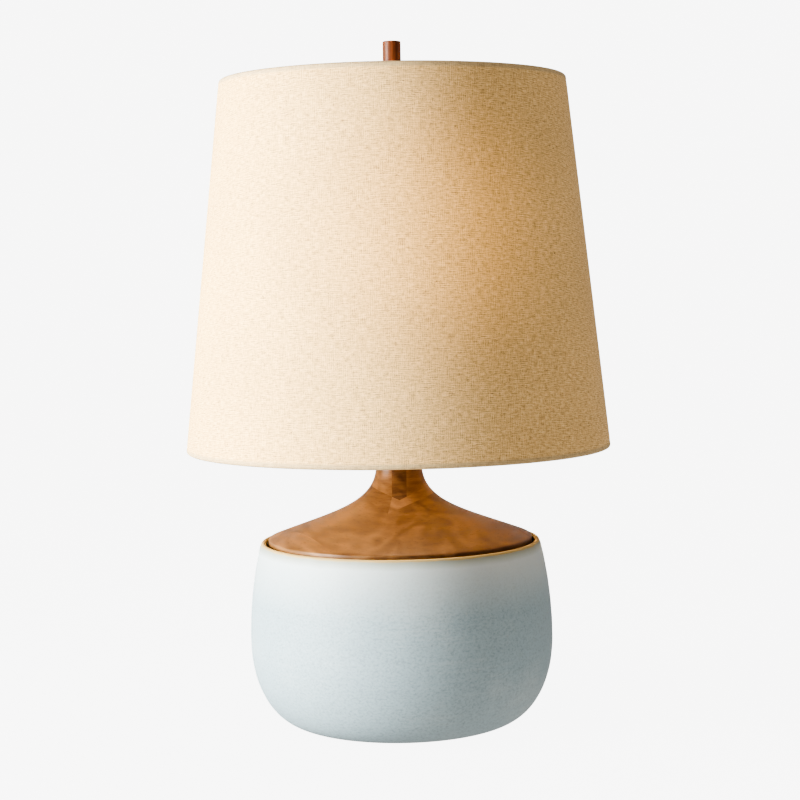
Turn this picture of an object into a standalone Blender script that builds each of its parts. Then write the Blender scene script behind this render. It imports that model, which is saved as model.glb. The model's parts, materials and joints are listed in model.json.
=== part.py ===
"""Table lamp: a stoneware bowl with a turned wooden cap, a harp, and a tapered linen shade.

The origin is on the lamp's axis, on the table. +Z is up and -Y is the front, the side of the
switch knob. Lengths are written in millimetres and turned into metres by MM.
"""

import math

import bmesh
import bpy
from mathutils import Matrix, Vector

MM = 0.001
GAP = 0.3 * MM  # kept between pieces that touch

FINE = 48  # sides of the shade's circles
ROUND = 40  # sides of the base's circles
MEDIUM = 20  # sides of the socket's and the bulb's circles
SMALL = 12  # sides of small turned pieces

# Base
FELT_RADIUS = 82 * MM
FELT_THICKNESS = 1.6 * MM
FOOT_Z = FELT_THICKNESS + GAP
FOOT_RADIUS = 87 * MM
BELLY_RADIUS = 136.6 * MM
BELLY_Z = 79 * MM
BELLY_SQUARENESS = 2.1
RIM_Z = 166.5 * MM
RIM_OUTER_RADIUS = 125.9 * MM
RIM_INNER_RADIUS = 121.3 * MM
WALL = 6.5 * MM
FLOOR_Z = 10.5 * MM
BOSS_RADIUS = 32 * MM
BOSS_Z = 20 * MM
RECESS_RADIUS = 24 * MM
RECESS_Z = 12.4 * MM
LEDGE_Z = 158.9 * MM
LEDGE_RADIUS = 112 * MM
LEDGE_THICKNESS = 6 * MM

# Threaded pipe that clamps the base together
PIPE_RADIUS = 4.9 * MM
PIPE_BORE = 3.2 * MM
PIPE_BOTTOM_Z = 2.4 * MM
PIPE_TOP_Z = 294 * MM
PIPE_HOLE = PIPE_RADIUS + 0.4 * MM
NUT_ACROSS_FLATS = 14.3 * MM

# Cable inlet low in the back of the bowl
INLET_Z = 33 * MM
INLET_BORE = 3.4 * MM
INLET_BODY_RADIUS = 5 * MM
INLET_FLANGE_RADIUS = 7.5 * MM
INLET_FLANGE = 1.8 * MM

# Wooden cap
CAP_EDGE_RADIUS = 119 * MM
CAP_EDGE_TOP_Z = 169.3 * MM
CAP_SLOPE = 0.38
CAP_EDGE_HANDLE = 60.6 * MM
CAP_NECK_RADIUS = 20.6 * MM
CAP_NECK_Z = 235.5 * MM
CAP_NECK_HANDLE = 35.5 * MM
CAP_TOP_Z = 272 * MM

# Stack on top of the neck
COLLAR_TOP_Z = 280 * MM
LOCK_NUT_TOP_Z = 284.8 * MM
SADDLE_THICKNESS = 2 * MM
SADDLE_Z = LOCK_NUT_TOP_Z + GAP
SADDLE_WIDTH = 10 * MM
SADDLE_PAD_RADIUS = 11 * MM

# Harp
LEG_X = 35 * MM
LEG_FOOT_Z = 303 * MM
LEG_STRAIGHT_Z = 329 * MM
WIRE_RADIUS = 2 * MM
PEG_RADIUS = 2 * MM
HARP_HALF_WIDTH = 57 * MM
HARP_WIDEST_Z = 400 * MM
LUG_Z = 559.5 * MM
LUG_THICKNESS = 2.2 * MM
LUG_HOLE = 2.7 * MM
FERRULE_BORE = 2.6 * MM
FERRULE_RADIUS = 3.9 * MM
FERRULE_BOTTOM_Z = 295 * MM
FERRULE_LENGTH = 16 * MM

# Socket
SOCKET_Z = SADDLE_Z + SADDLE_THICKNESS + GAP
SHELL_RADIUS = 17.6 * MM
SHEET = 0.8 * MM
SHELL_BOTTOM_Z = 300 * MM
SHELL_TOP_Z = 348 * MM
KNOB_Z = 313 * MM
SWITCH_RADIUS = 1.8 * MM
KNOB_RADIUS = 5.5 * MM
KNOB_RIBS = 12
KNOB_RIB_DEPTH = 0.7 * MM
KNOB_NEAR_Y = -22 * MM
KNOB_FAR_Y = -41 * MM

# Bulb
BULB_TIP_Z = 328.6 * MM
BULB_CAP_RADIUS = 13 * MM
BULB_RADIUS = 30 * MM
BULB_CENTRE_Z = 406 * MM
GLASS = 1 * MM

# Shade
SHADE_BOTTOM_Z = 249.4 * MM
SHADE_TOP_Z = 579 * MM
SHADE_BOTTOM_RADIUS = 190.4 * MM
SHADE_TOP_RADIUS = 154 * MM
FABRIC = 1 * MM
LINER = 0.6 * MM
RING_WIRE = 1.6 * MM
RING_DEPTH = FABRIC + GAP + RING_WIRE  # from the shade's edge to the middle of the ring's wire
ARM_RADIUS = 1.6 * MM
ARMS = 3

# Finial and the stud that it screws onto
STUD_RADIUS = 3.1 * MM
HUB_Z = 563.6 * MM
HUB_THICKNESS = 2.6 * MM
HUB_RADIUS = 11 * MM
FINIAL_RADIUS = 8 * MM
FINIAL_TOP_Z = 612.5 * MM
FINIAL_BORE_DEPTH = 17 * MM

# Colour, roughness and metallic value of each material
FINISHES = {
    "felt": ((0.05, 0.045, 0.04), 0.95, 0.0),
    "stoneware": ((0.60, 0.66, 0.68), 0.60, 0.0),
    "wood": ((0.42, 0.19, 0.07), 0.40, 0.0),
    "walnut": ((0.25, 0.09, 0.04), 0.30, 0.0),
    "linen": ((0.74, 0.62, 0.46), 0.90, 0.0),
    "styrene": ((0.85, 0.82, 0.76), 0.45, 0.0),
    "brass": ((0.72, 0.53, 0.25), 0.30, 1.0),
    "steel": ((0.56, 0.56, 0.55), 0.35, 1.0),
    "nickel": ((0.62, 0.60, 0.57), 0.25, 1.0),
    "white_wire": ((0.80, 0.79, 0.76), 0.40, 0.0),
    "phenolic": ((0.03, 0.03, 0.03), 0.35, 0.0),
    "rubber": ((0.04, 0.04, 0.04), 0.80, 0.0),
    "fibre": ((0.45, 0.36, 0.25), 0.85, 0.0),
    "frosted_glass": ((0.93, 0.92, 0.88), 0.30, 0.0),
    "black_glass": ((0.02, 0.02, 0.02), 0.15, 0.0),
}


# ---------------------------------------------------------------- helpers


def clear_scene():
    for old in list(bpy.data.objects):
        bpy.data.objects.remove(old)


def finish(name):
    """The material of this name, made the first time that it is asked for."""
    if name in bpy.data.materials:
        return bpy.data.materials[name]
    colour, roughness, metallic = FINISHES[name]
    made = bpy.data.materials.new(name)
    made.use_nodes = True
    shader = made.node_tree.nodes["Principled BSDF"]
    shader.inputs["Base Color"].default_value = (*colour, 1)
    shader.inputs["Roughness"].default_value = roughness
    shader.inputs["Metallic"].default_value = metallic
    return made


def add_object(name, mesh, finish_name, origin=(0, 0, 0)):
    """An object whose mesh is given in world coordinates, with its origin moved to origin."""
    mesh.transform(Matrix.Translation(-Vector(origin)))
    mesh.materials.clear()
    mesh.materials.append(finish(finish_name))
    mesh.shade_smooth()
    mesh.set_sharp_from_angle(angle=math.radians(35))
    made = bpy.data.objects.new(name, mesh)
    made.location = origin
    bpy.context.collection.objects.link(made)
    return made


def mesh_of(shape):
    """Closes a bmesh's normals outwards and turns it into a mesh."""
    bmesh.ops.recalc_face_normals(shape, faces=shape.faces)
    mesh = bpy.data.meshes.new("shape")
    shape.to_mesh(mesh)
    shape.free()
    return mesh


def turned_mesh(outline, sides):
    """A closed outline of (radius, z) points, turned about the Z axis."""
    shape = bmesh.new()
    points = [shape.verts.new((radius, 0, z)) for radius, z in outline]
    edges = [shape.edges.new((points[i - 1], points[i])) for i in range(len(points))]
    bmesh.ops.spin(
        shape,
        geom=points + edges,
        axis=(0, 0, 1),
        cent=(0, 0, 0),
        angle=2 * math.pi,
        steps=sides,
        use_merge=True,
    )
    bmesh.ops.remove_doubles(shape, verts=shape.verts, dist=1e-6)
    on_axis = [e for e in shape.edges if len(e.link_faces) == 0]
    bmesh.ops.delete(shape, geom=on_axis, context="EDGES")
    return mesh_of(shape)


def turned(name, finish_name, outline, sides=SMALL, origin=(0, 0, 0)):
    return add_object(name, turned_mesh(outline, sides), finish_name, origin)


def washer_outline(inner, outer, bottom, top):
    return [(inner, bottom), (outer, bottom), (outer, top), (inner, top)]


def solid_outline(radius, bottom, top):
    return washer_outline(0, radius, bottom, top)


def turned_along(name, finish_name, outline, place, sides=SMALL, origin=(0, 0, 0)):
    """A turned piece whose own Z axis is laid along another direction by the matrix place."""
    mesh = turned_mesh(outline, sides)
    mesh.transform(place)
    return add_object(name, mesh, finish_name, origin)


def facing(point, direction):
    """The matrix that puts a piece's own origin at point and its Z axis along direction."""
    return Matrix.Translation(point) @ Vector(direction).to_track_quat("Z", "Y").to_matrix().to_4x4()


def tube_mesh(points, radius, bevel_resolution=2):
    """A round wire with closed ends, along a chain of points."""
    curve = bpy.data.curves.new("wire", "CURVE")
    curve.dimensions = "3D"
    curve.bevel_depth = radius
    curve.bevel_resolution = bevel_resolution
    curve.use_fill_caps = True
    line = curve.splines.new("POLY")
    line.points.add(len(points) - 1)
    for spot, point in zip(line.points, points):
        spot.co = (*point, 1)
    guide = bpy.data.objects.new("wire", curve)
    mesh = bpy.data.meshes.new_from_object(guide)
    bpy.data.objects.remove(guide)
    return welded(mesh)


def welded(mesh):
    """The mesh with its caps joined to its sides."""
    shape = bmesh.new()
    shape.from_mesh(mesh)
    bmesh.ops.remove_doubles(shape, verts=shape.verts, dist=1e-6)
    bpy.data.meshes.remove(mesh)
    return mesh_of(shape)


def box_mesh(low, high):
    shape = bmesh.new()
    size = Vector(high) - Vector(low)
    middle = (Vector(high) + Vector(low)) / 2
    bmesh.ops.create_cube(shape, size=1, matrix=Matrix.Translation(middle) @ Matrix.Diagonal((*size, 1)))
    return mesh_of(shape)


def prism_mesh(outline, bottom, top):
    """A closed outline of (x, y) points, extruded up from bottom to top."""
    shape = bmesh.new()
    face = shape.faces.new([shape.verts.new((x, y, bottom)) for x, y in outline])
    lifted = bmesh.ops.extrude_face_region(shape, geom=[face])["geom"]
    rising = [item for item in lifted if isinstance(item, bmesh.types.BMVert)]
    bmesh.ops.translate(shape, verts=rising, vec=(0, 0, top - bottom))
    return mesh_of(shape)


def helper(name, mesh):
    """A hidden object that a Boolean cuts with or joins on."""
    made = bpy.data.objects.new(name, mesh)
    made.hide_render = True
    made.hide_viewport = True
    made.display_type = "WIRE"
    bpy.context.collection.objects.link(made)
    return made


def combine(target, operation, name, mesh):
    step = target.modifiers.new(name, "BOOLEAN")
    step.operation = operation
    step.solver = "EXACT"
    step.object = helper(name, mesh)


def bezier(start, handle_a, handle_b, end, steps):
    """Points along a cubic Bezier curve, both ends included."""
    found = []
    for i in range(steps + 1):
        t = i / steps
        weights = ((1 - t) ** 3, 3 * t * (1 - t) ** 2, 3 * t * t * (1 - t), t**3)
        corners = (start, handle_a, handle_b, end)
        found.append(tuple(sum(w * p[axis] for w, p in zip(weights, corners)) for axis in range(len(start))))
    return found


def circle_angles(count):
    return [2 * math.pi * i / count for i in range(count)]


def arc(centre, radius, start_deg, end_deg, steps):
    """Points (r, z) along an arc, both ends included."""
    found = []
    for i in range(steps + 1):
        angle = math.radians(start_deg + (end_deg - start_deg) * i / steps)
        found.append((centre[0] + radius * math.cos(angle), centre[1] + radius * math.sin(angle)))
    return found


# ---------------------------------------------------------------- base


def belly_curve(foot_z, inset, steps):
    """The rounded lower corner of the bowl, from its foot up to its widest point."""
    found = []
    for i in range(steps + 1):
        angle = math.pi / 2 * i / steps
        across = math.sin(angle) ** (2 / BELLY_SQUARENESS)
        drop = math.cos(angle) ** (2 / BELLY_SQUARENESS)
        radius = FOOT_RADIUS + (BELLY_RADIUS - inset - FOOT_RADIUS) * across
        found.append((radius, BELLY_Z - (BELLY_Z - foot_z) * drop))
    return found


def shoulder_radius(z, inset=0.0):
    """The bowl's radius above its widest point, on one long arc that passes through the rim."""
    rise = RIM_Z - BELLY_Z
    narrowing = BELLY_RADIUS - RIM_OUTER_RADIUS
    sweep = (rise**2 + narrowing**2) / (2 * narrowing)
    return BELLY_RADIUS - inset - sweep + math.sqrt(sweep**2 - (z - BELLY_Z) ** 2)


def shoulder_curve(top_z, inset, steps):
    heights = [BELLY_Z + (top_z - BELLY_Z) * i / steps for i in range(1, steps + 1)]
    return [(shoulder_radius(z, inset), z) for z in heights]


def wall_radius(z):
    """The bowl's outer radius at a height below its widest point."""
    drop = (BELLY_Z - z) / (BELLY_Z - FOOT_Z)
    across = (1 - drop**BELLY_SQUARENESS) ** (1 / BELLY_SQUARENESS)
    return FOOT_RADIUS + (BELLY_RADIUS - FOOT_RADIUS) * across


def ceramic_body():
    lip = (RIM_OUTER_RADIUS - RIM_INNER_RADIUS) / 2
    lip_centre = (RIM_INNER_RADIUS + lip, RIM_Z - lip)
    under_ledge_z = LEDGE_Z - LEDGE_THICKNESS
    wall_inside = shoulder_radius(under_ledge_z, WALL)
    taper_end_z = under_ledge_z - (wall_inside - LEDGE_RADIUS)
    outside = [(RECESS_RADIUS, FOOT_Z)] + belly_curve(FOOT_Z, 0, 10)
    outside += shoulder_curve(RIM_Z - lip, 0, 5)[:-1] + arc(lip_centre, lip, 0, 180, 4)
    inside = [(RIM_INNER_RADIUS, LEDGE_Z), (LEDGE_RADIUS, LEDGE_Z), (LEDGE_RADIUS, under_ledge_z)]
    inside += reversed(shoulder_curve(taper_end_z, WALL, 2))
    inside += reversed(belly_curve(FLOOR_Z, WALL, 6))
    centre = [
        (BOSS_RADIUS + 6 * MM, FLOOR_Z),
        (BOSS_RADIUS, BOSS_Z),
        (PIPE_HOLE, BOSS_Z),
        (PIPE_HOLE, RECESS_Z),
        (RECESS_RADIUS, RECESS_Z),
    ]
    body = turned("ceramic_body", "stoneware", outside + inside + centre, ROUND)
    drill = turned_mesh(solid_outline(INLET_BODY_RADIUS + GAP, -20 * MM, 10 * MM), MEDIUM)
    drill.transform(inlet_place())
    combine(body, "DIFFERENCE", "inlet_drill", drill)


def inlet_place():
    """Where the inlet sits: on the bowl's back, square to the wall."""
    step = 1 * MM
    slope = math.atan2(wall_radius(INLET_Z + step) - wall_radius(INLET_Z - step), 2 * step)
    outwards = (0, math.cos(slope), -math.sin(slope))
    return facing((0, wall_radius(INLET_Z), INLET_Z), outwards)


def cord_grommet():
    """The rubber bush that lines the cable hole, with a flange on each side of the wall."""
    lower = -WALL - 2.2 * MM
    outline = [
        (INLET_BORE, lower - INLET_FLANGE),
        (INLET_FLANGE_RADIUS - 1 * MM, lower - INLET_FLANGE),
        (INLET_FLANGE_RADIUS - 1 * MM, lower),
        (INLET_BODY_RADIUS, lower),
        (INLET_BODY_RADIUS, GAP),
        (INLET_FLANGE_RADIUS, GAP),
        (INLET_FLANGE_RADIUS - 0.5 * MM, INLET_FLANGE),
        (INLET_BORE + 0.6 * MM, INLET_FLANGE + 0.4 * MM),
        (INLET_BORE, INLET_FLANGE),
    ]
    turned_along("cord_grommet", "rubber", outline, inlet_place(), MEDIUM)


def felt_pad():
    turned("felt_pad", "felt", solid_outline(FELT_RADIUS, 0, FELT_THICKNESS), ROUND)


def hexagon(across_flats):
    corner = across_flats / 2 / math.cos(math.pi / 6)
    return [(corner * math.cos(angle), corner * math.sin(angle)) for angle in circle_angles(6)]


def hex_nut(name, finish_name, across_flats, bottom, top):
    nut = add_object(name, prism_mesh(hexagon(across_flats), bottom, top), finish_name)
    bore = turned_mesh(solid_outline(PIPE_HOLE, bottom - MM, top + MM), MEDIUM)
    combine(nut, "DIFFERENCE", name + "_bore", bore)


def bottom_clamp():
    """The nut and its washers, from the bowl's recess down."""
    top = RECESS_Z - GAP
    for name, finish_name, radius, thickness in (
        ("bottom_rubber_washer", "rubber", 20 * MM, 1.5 * MM),
        ("bottom_steel_washer", "steel", 18 * MM, 1.5 * MM),
    ):
        turned(name, finish_name, washer_outline(PIPE_HOLE, radius, top - thickness, top), MEDIUM)
        top -= thickness + GAP
    lock_bottom = top - 1.2 * MM
    lock = turned("bottom_lock_washer", "steel", washer_outline(PIPE_HOLE, 8.5 * MM, lock_bottom, top))
    split = box_mesh((0, -0.6 * MM, lock_bottom - MM), (12 * MM, 0.6 * MM, top + MM))
    combine(lock, "DIFFERENCE", "lock_washer_split", split)
    hex_nut("bottom_hex_nut", "steel", NUT_ACROSS_FLATS, PIPE_BOTTOM_Z + 0.8 * MM, lock_bottom - GAP)


def threaded_pipe():
    outline = washer_outline(PIPE_BORE, PIPE_RADIUS, PIPE_BOTTOM_Z, PIPE_TOP_Z)
    turned("threaded_pipe", "steel", outline)


def wood_cap():
    chamfer = 1 * MM
    bottom = LEDGE_Z + GAP
    edge = (CAP_EDGE_RADIUS, CAP_EDGE_TOP_Z)
    neck = (CAP_NECK_RADIUS, CAP_NECK_Z)
    flare = bezier(
        edge,
        (edge[0] - CAP_EDGE_HANDLE, edge[1] + CAP_SLOPE * CAP_EDGE_HANDLE),
        (neck[0], neck[1] - CAP_NECK_HANDLE),
        neck,
        11,
    )
    underside = [
        (PIPE_HOLE, 190 * MM),
        (34 * MM, 190 * MM),
        (CAP_EDGE_RADIUS - 16 * MM, bottom + 3 * MM),
        (CAP_EDGE_RADIUS - 16 * MM, bottom),
        (CAP_EDGE_RADIUS, bottom),
    ]
    top = arc((CAP_NECK_RADIUS - 2 * MM, CAP_TOP_Z - 2 * MM), 2 * MM, 0, 90, 2) + [(PIPE_HOLE, CAP_TOP_Z)]
    flare[0] = (edge[0], edge[1] - chamfer)
    turned("wood_cap", "wood", underside + flare + top, ROUND)


def neck_fittings():
    bottom = CAP_TOP_Z + GAP
    collar = [
        (PIPE_HOLE, bottom),
        (17 * MM, bottom),
        (17 * MM, bottom + 1.5 * MM),
        (12 * MM, bottom + 4 * MM),
        (10.5 * MM, COLLAR_TOP_Z),
        (PIPE_HOLE, COLLAR_TOP_Z),
    ]
    turned("neck_collar", "brass", collar, MEDIUM)
    hex_nut("neck_lock_nut", "steel", NUT_ACROSS_FLATS, COLLAR_TOP_Z + GAP, LOCK_NUT_TOP_Z)


# ---------------------------------------------------------------- harp


def strap_mesh(stations, thickness):
    """A flat strap that runs along X through stations of (x, middle z, half width)."""
    shape = bmesh.new()
    rings = []
    for x, z, half in stations:
        corners = ((-half, -0.5), (half, -0.5), (half, 0.5), (-half, 0.5))
        rings.append([shape.verts.new((x, y, z + side * thickness)) for y, side in corners])
    for near, far in zip(rings, rings[1:]):
        for i in range(4):
            shape.faces.new((near[i - 1], near[i], far[i], far[i - 1]))
    shape.faces.new(rings[0])
    shape.faces.new(rings[-1])
    return mesh_of(shape)


def harp_saddle():
    """A strap under the socket, whose arms rise to the pegs that the harp's legs stand on."""
    narrow = SADDLE_WIDTH / 2
    low = SADDLE_Z + SADDLE_THICKNESS / 2
    peg_bottom = FERRULE_BOTTOM_Z - 1 * MM
    high = peg_bottom - SADDLE_THICKNESS / 2
    right = [
        (8 * MM, low, SADDLE_PAD_RADIUS - 2 * MM),
        (13 * MM, low, narrow),
        (19 * MM, low, narrow),
        (LEG_X - 6 * MM, high, narrow),
        (LEG_X + 4 * MM, high, narrow),
    ]
    left = [(-x, z, half) for x, z, half in reversed(right)]
    stations = left + [(0, low, SADDLE_PAD_RADIUS)] + right
    saddle = add_object("harp_saddle", strap_mesh(stations, SADDLE_THICKNESS), "nickel")
    bore = turned_mesh(solid_outline(PIPE_HOLE, low - 5 * MM, low + 5 * MM), MEDIUM)
    combine(saddle, "DIFFERENCE", "saddle_bore", bore)
    for side_name, sign in (("left", -1), ("right", 1)):
        peg = turned_mesh(solid_outline(PEG_RADIUS, peg_bottom - MM, LEG_FOOT_Z - GAP), SMALL)
        peg.transform(Matrix.Translation((sign * LEG_X, 0, 0)))
        combine(saddle, "UNION", f"peg_{side_name}", peg)


def harp_side(sign):
    """Points up one side of the harp, from its foot to just beside the lug."""
    foot = (sign * LEG_X, 0, LEG_FOOT_Z)
    straight = (sign * LEG_X, 0, LEG_STRAIGHT_Z)
    widest = (sign * HARP_HALF_WIDTH, 0, HARP_WIDEST_Z)
    top = (sign * 6 * MM, 0, LUG_Z)
    rise = HARP_WIDEST_Z - LEG_STRAIGHT_Z
    flare = bezier(
        straight,
        (straight[0], 0, straight[2] + 0.45 * rise),
        (widest[0], 0, widest[2] - 0.55 * rise),
        widest,
        8,
    )
    bow = bezier(
        widest,
        (widest[0], 0, widest[2] + 78 * MM),
        (sign * 42 * MM, 0, LUG_Z),
        top,
        14,
    )
    return [foot] + flare + bow[1:]


def harp_loop():
    wire = harp_side(-1) + list(reversed(harp_side(1)))
    harp = add_object("harp_loop", tube_mesh(wire, WIRE_RADIUS), "nickel")
    low = LUG_Z - LUG_THICKNESS / 2
    high = LUG_Z + LUG_THICKNESS / 2
    lug = [(8 * MM * math.cos(angle), 6 * MM * math.sin(angle)) for angle in circle_angles(20)]
    hole = turned_mesh(solid_outline(LUG_HOLE, low - 4 * MM, high + 4 * MM), MEDIUM)
    above = box_mesh((-9 * MM, -7 * MM, high), (9 * MM, 7 * MM, high + 6 * MM))
    below = box_mesh((-9 * MM, -7 * MM, low - 6 * MM), (9 * MM, 7 * MM, low))
    combine(harp, "UNION", "harp_lug", prism_mesh(lug, low, high))
    combine(harp, "DIFFERENCE", "harp_flat_top", above)
    combine(harp, "DIFFERENCE", "harp_flat_bottom", below)
    combine(harp, "DIFFERENCE", "harp_lug_hole", hole)


def harp_ferrules():
    """The sleeves that lock the harp's legs onto the saddle's pegs."""
    top = FERRULE_BOTTOM_Z + FERRULE_LENGTH
    edge = 0.6 * MM
    outline = [
        (FERRULE_BORE, FERRULE_BOTTOM_Z),
        (FERRULE_RADIUS - edge, FERRULE_BOTTOM_Z),
        (FERRULE_RADIUS, FERRULE_BOTTOM_Z + edge),
        (FERRULE_RADIUS, top - edge),
        (FERRULE_RADIUS - edge, top),
        (FERRULE_BORE, top),
    ]
    for side_name, sign in (("left", -1), ("right", 1)):
        place = Matrix.Translation((sign * LEG_X, 0, 0))
        origin = (sign * LEG_X, 0, FERRULE_BOTTOM_Z)
        turned_along(f"harp_ferrule_{side_name}", "nickel", outline, place, SMALL, origin)


def harp_stud():
    """The swivelling stud: a head under the lug, a collar that carries the shade, and a thread."""
    low = LUG_Z - LUG_THICKNESS / 2 - GAP
    high = LUG_Z + LUG_THICKNESS / 2 + GAP
    collar_top = HUB_Z - GAP
    top = HUB_Z + HUB_THICKNESS + 12 * MM
    shank = LUG_HOLE - 0.4 * MM
    head = 4.6 * MM
    head_height = 1.6 * MM
    collar = 6.5 * MM
    chamfer = 0.6 * MM
    outline = [
        (0, low - head_height),
        (head - head_height / 2, low - head_height),
        (head, low - head_height / 2),
        (head, low),
        (shank, low),
        (shank, high),
        (collar, high),
        (collar, collar_top),
        (STUD_RADIUS, collar_top),
        (STUD_RADIUS, top - chamfer),
        (STUD_RADIUS - chamfer, top),
        (0, top),
    ]
    turned("harp_stud", "brass", outline, SMALL, (0, 0, LUG_Z))


# ---------------------------------------------------------------- socket and bulb


def socket_cap():
    """A dished cup of sheet brass, with a hub that screws onto the pipe."""
    rim = SHELL_RADIUS + 0.4 * MM
    rim_top = SHELL_BOTTOM_Z + 6 * MM
    dish_z = SOCKET_Z + 3 * MM
    outline = [
        (PIPE_HOLE, SOCKET_Z),
        (8 * MM, SOCKET_Z),
        (8.6 * MM, dish_z),
        (14 * MM, dish_z + 2.4 * MM),
        (rim + SHEET, dish_z + 8.4 * MM),
        (rim + SHEET, rim_top),
        (rim, rim_top),
        (rim, dish_z + 8.9 * MM),
        (13.6 * MM, dish_z + 3.2 * MM),
        (8 * MM, dish_z + 1.2 * MM),
        (7.6 * MM, PIPE_TOP_Z + 2 * MM),
        (PIPE_HOLE, PIPE_TOP_Z + 2 * MM),
    ]
    cap = turned("socket_cap", "brass", outline, MEDIUM)
    place = facing((0, 0, SOCKET_Z + 1.6 * MM), (0, 1, 0))
    drill = turned_mesh(solid_outline(1.1 * MM, 4 * MM, 12 * MM), SMALL)
    drill.transform(place)
    combine(cap, "DIFFERENCE", "set_screw_hole", drill)
    screw = [
        (0, PIPE_HOLE + 0.3 * MM),
        (0.8 * MM, PIPE_HOLE + 0.3 * MM),
        (0.8 * MM, 9 * MM),
        (1.6 * MM, 9 * MM),
        (1.6 * MM, 10.4 * MM),
        (0, 10.4 * MM),
    ]
    turned_along("socket_set_screw", "steel", screw, place)


def socket_shell():
    bead = 0.6 * MM
    bead_z = SHELL_TOP_Z - 5 * MM
    inner = SHELL_RADIUS - SHEET
    outline = [
        (inner, SHELL_BOTTOM_Z),
        (SHELL_RADIUS, SHELL_BOTTOM_Z),
        (SHELL_RADIUS, bead_z - 1 * MM),
        (SHELL_RADIUS + bead, bead_z),
        (SHELL_RADIUS, bead_z + 1 * MM),
        (SHELL_RADIUS, SHELL_TOP_Z),
        (inner, SHELL_TOP_Z),
    ]
    shell = turned("socket_shell", "brass", outline, MEDIUM)
    combine(shell, "DIFFERENCE", "shell_switch_hole", switch_drill(-12 * MM, -20 * MM))


def switch_drill(near_y, far_y):
    """A cutter along the switch shaft, with room to spare around it."""
    drill = turned_mesh(solid_outline(SWITCH_RADIUS + 1.2 * MM, -near_y, -far_y), SMALL)
    drill.transform(facing((0, 0, KNOB_Z), (0, -1, 0)))
    return drill


def socket_interior():
    bottom = SHELL_BOTTOM_Z + 1 * MM
    sleeve_outer = SHELL_RADIUS - SHEET - GAP
    sleeve = washer_outline(sleeve_outer - 0.7 * MM, sleeve_outer, bottom, SHELL_TOP_Z + 2 * MM)
    insulator = turned("socket_insulator", "fibre", sleeve, MEDIUM)
    combine(insulator, "DIFFERENCE", "sleeve_switch_hole", switch_drill(-12 * MM, -20 * MM))
    body_top = BULB_TIP_Z - 4.3 * MM
    body = turned("socket_body", "phenolic", solid_outline(14.6 * MM, bottom, body_top), MEDIUM)
    for name, sign in (("flat_left", -1), ("flat_right", 1)):
        near, far = sorted((sign * 11 * MM, sign * 16 * MM))
        flat = box_mesh((near, -16 * MM, SHELL_BOTTOM_Z), (far, 16 * MM, body_top - 4 * MM))
        combine(body, "DIFFERENCE", name, flat)
    bore = turned_mesh(solid_outline(SWITCH_RADIUS + 0.4 * MM, 2 * MM, 16 * MM), SMALL)
    bore.transform(facing((0, 0, KNOB_Z), (0, -1, 0)))
    combine(body, "DIFFERENCE", "body_switch_bore", bore)
    thread_shell = washer_outline(13.5 * MM, 14.1 * MM, body_top + GAP, SHELL_TOP_Z - 2 * MM)
    turned("socket_screw_shell", "brass", thread_shell, MEDIUM)
    socket_centre_contact(body_top + GAP)


def socket_centre_contact(bottom):
    """A brass tongue bent up from the body's top to the bulb's tip."""
    half = 3 * MM
    thick = 0.5 * MM
    top = BULB_TIP_Z - GAP
    side = [
        (9 * MM, bottom),
        (9 * MM, bottom + thick),
        (4.5 * MM, bottom + thick),
        (0, top),
        (-3 * MM, top),
        (-3 * MM, top - thick),
        (-0.4 * MM, top - thick),
        (4 * MM, bottom),
    ]
    mesh = prism_mesh(side, -half, half)
    mesh.transform(Matrix.Rotation(math.pi / 2, 4, "X"))
    add_object("socket_centre_contact", mesh, "brass")


def terminal_screws():
    z = SHELL_BOTTOM_Z + 14 * MM
    head = solid_outline(2.6 * MM, 11.3 * MM, 13.2 * MM)
    for name, finish_name, sign in (
        ("terminal_screw_hot", "brass", 1),
        ("terminal_screw_neutral", "nickel", -1),
    ):
        turned_along(name, finish_name, head, facing((0, 0, z), (sign, 0, 0)))


def switch():
    """The turning shaft, and the ribbed knob pushed onto it."""
    axis = (0, 0, KNOB_Z)
    place = facing(axis, (0, -1, 0))
    shaft = solid_outline(SWITCH_RADIUS, 3 * MM, -KNOB_FAR_Y - 5 * MM)
    turned_along("switch_shaft", "brass", shaft, place, SMALL, axis)
    rim = []
    for i, angle in enumerate(circle_angles(2 * KNOB_RIBS)):
        radius = KNOB_RADIUS - (i % 2) * KNOB_RIB_DEPTH
        rim.append((radius * math.cos(angle), radius * math.sin(angle)))
    mesh = prism_mesh(rim, -KNOB_NEAR_Y, -KNOB_FAR_Y)
    mesh.transform(place)
    knob = add_object("switch_knob", mesh, "phenolic", axis)
    bore = turned_mesh(solid_outline(SWITCH_RADIUS + GAP, -KNOB_NEAR_Y - MM, -KNOB_FAR_Y - 4.6 * MM), SMALL)
    bore.transform(place)
    combine(knob, "DIFFERENCE", "knob_bore", bore)


def bulb_outline(inset):
    """The bulb's pear outline (r, z), from its neck up to its crown."""
    neck = (11.8 * MM - inset, BULB_TIP_Z + 22 * MM)
    waist = (12.6 * MM - inset, BULB_TIP_Z + 32 * MM)
    crown = arc((0, BULB_CENTRE_Z), BULB_RADIUS - inset, -20, 90, 6)
    flank = bezier(
        waist,
        (waist[0] + 1.5 * MM, waist[1] + 14 * MM),
        (crown[0][0] - 6 * MM, crown[0][1] - 14 * MM),
        crown[0],
        4,
    )
    return [neck] + flank + crown[1:]


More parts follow.
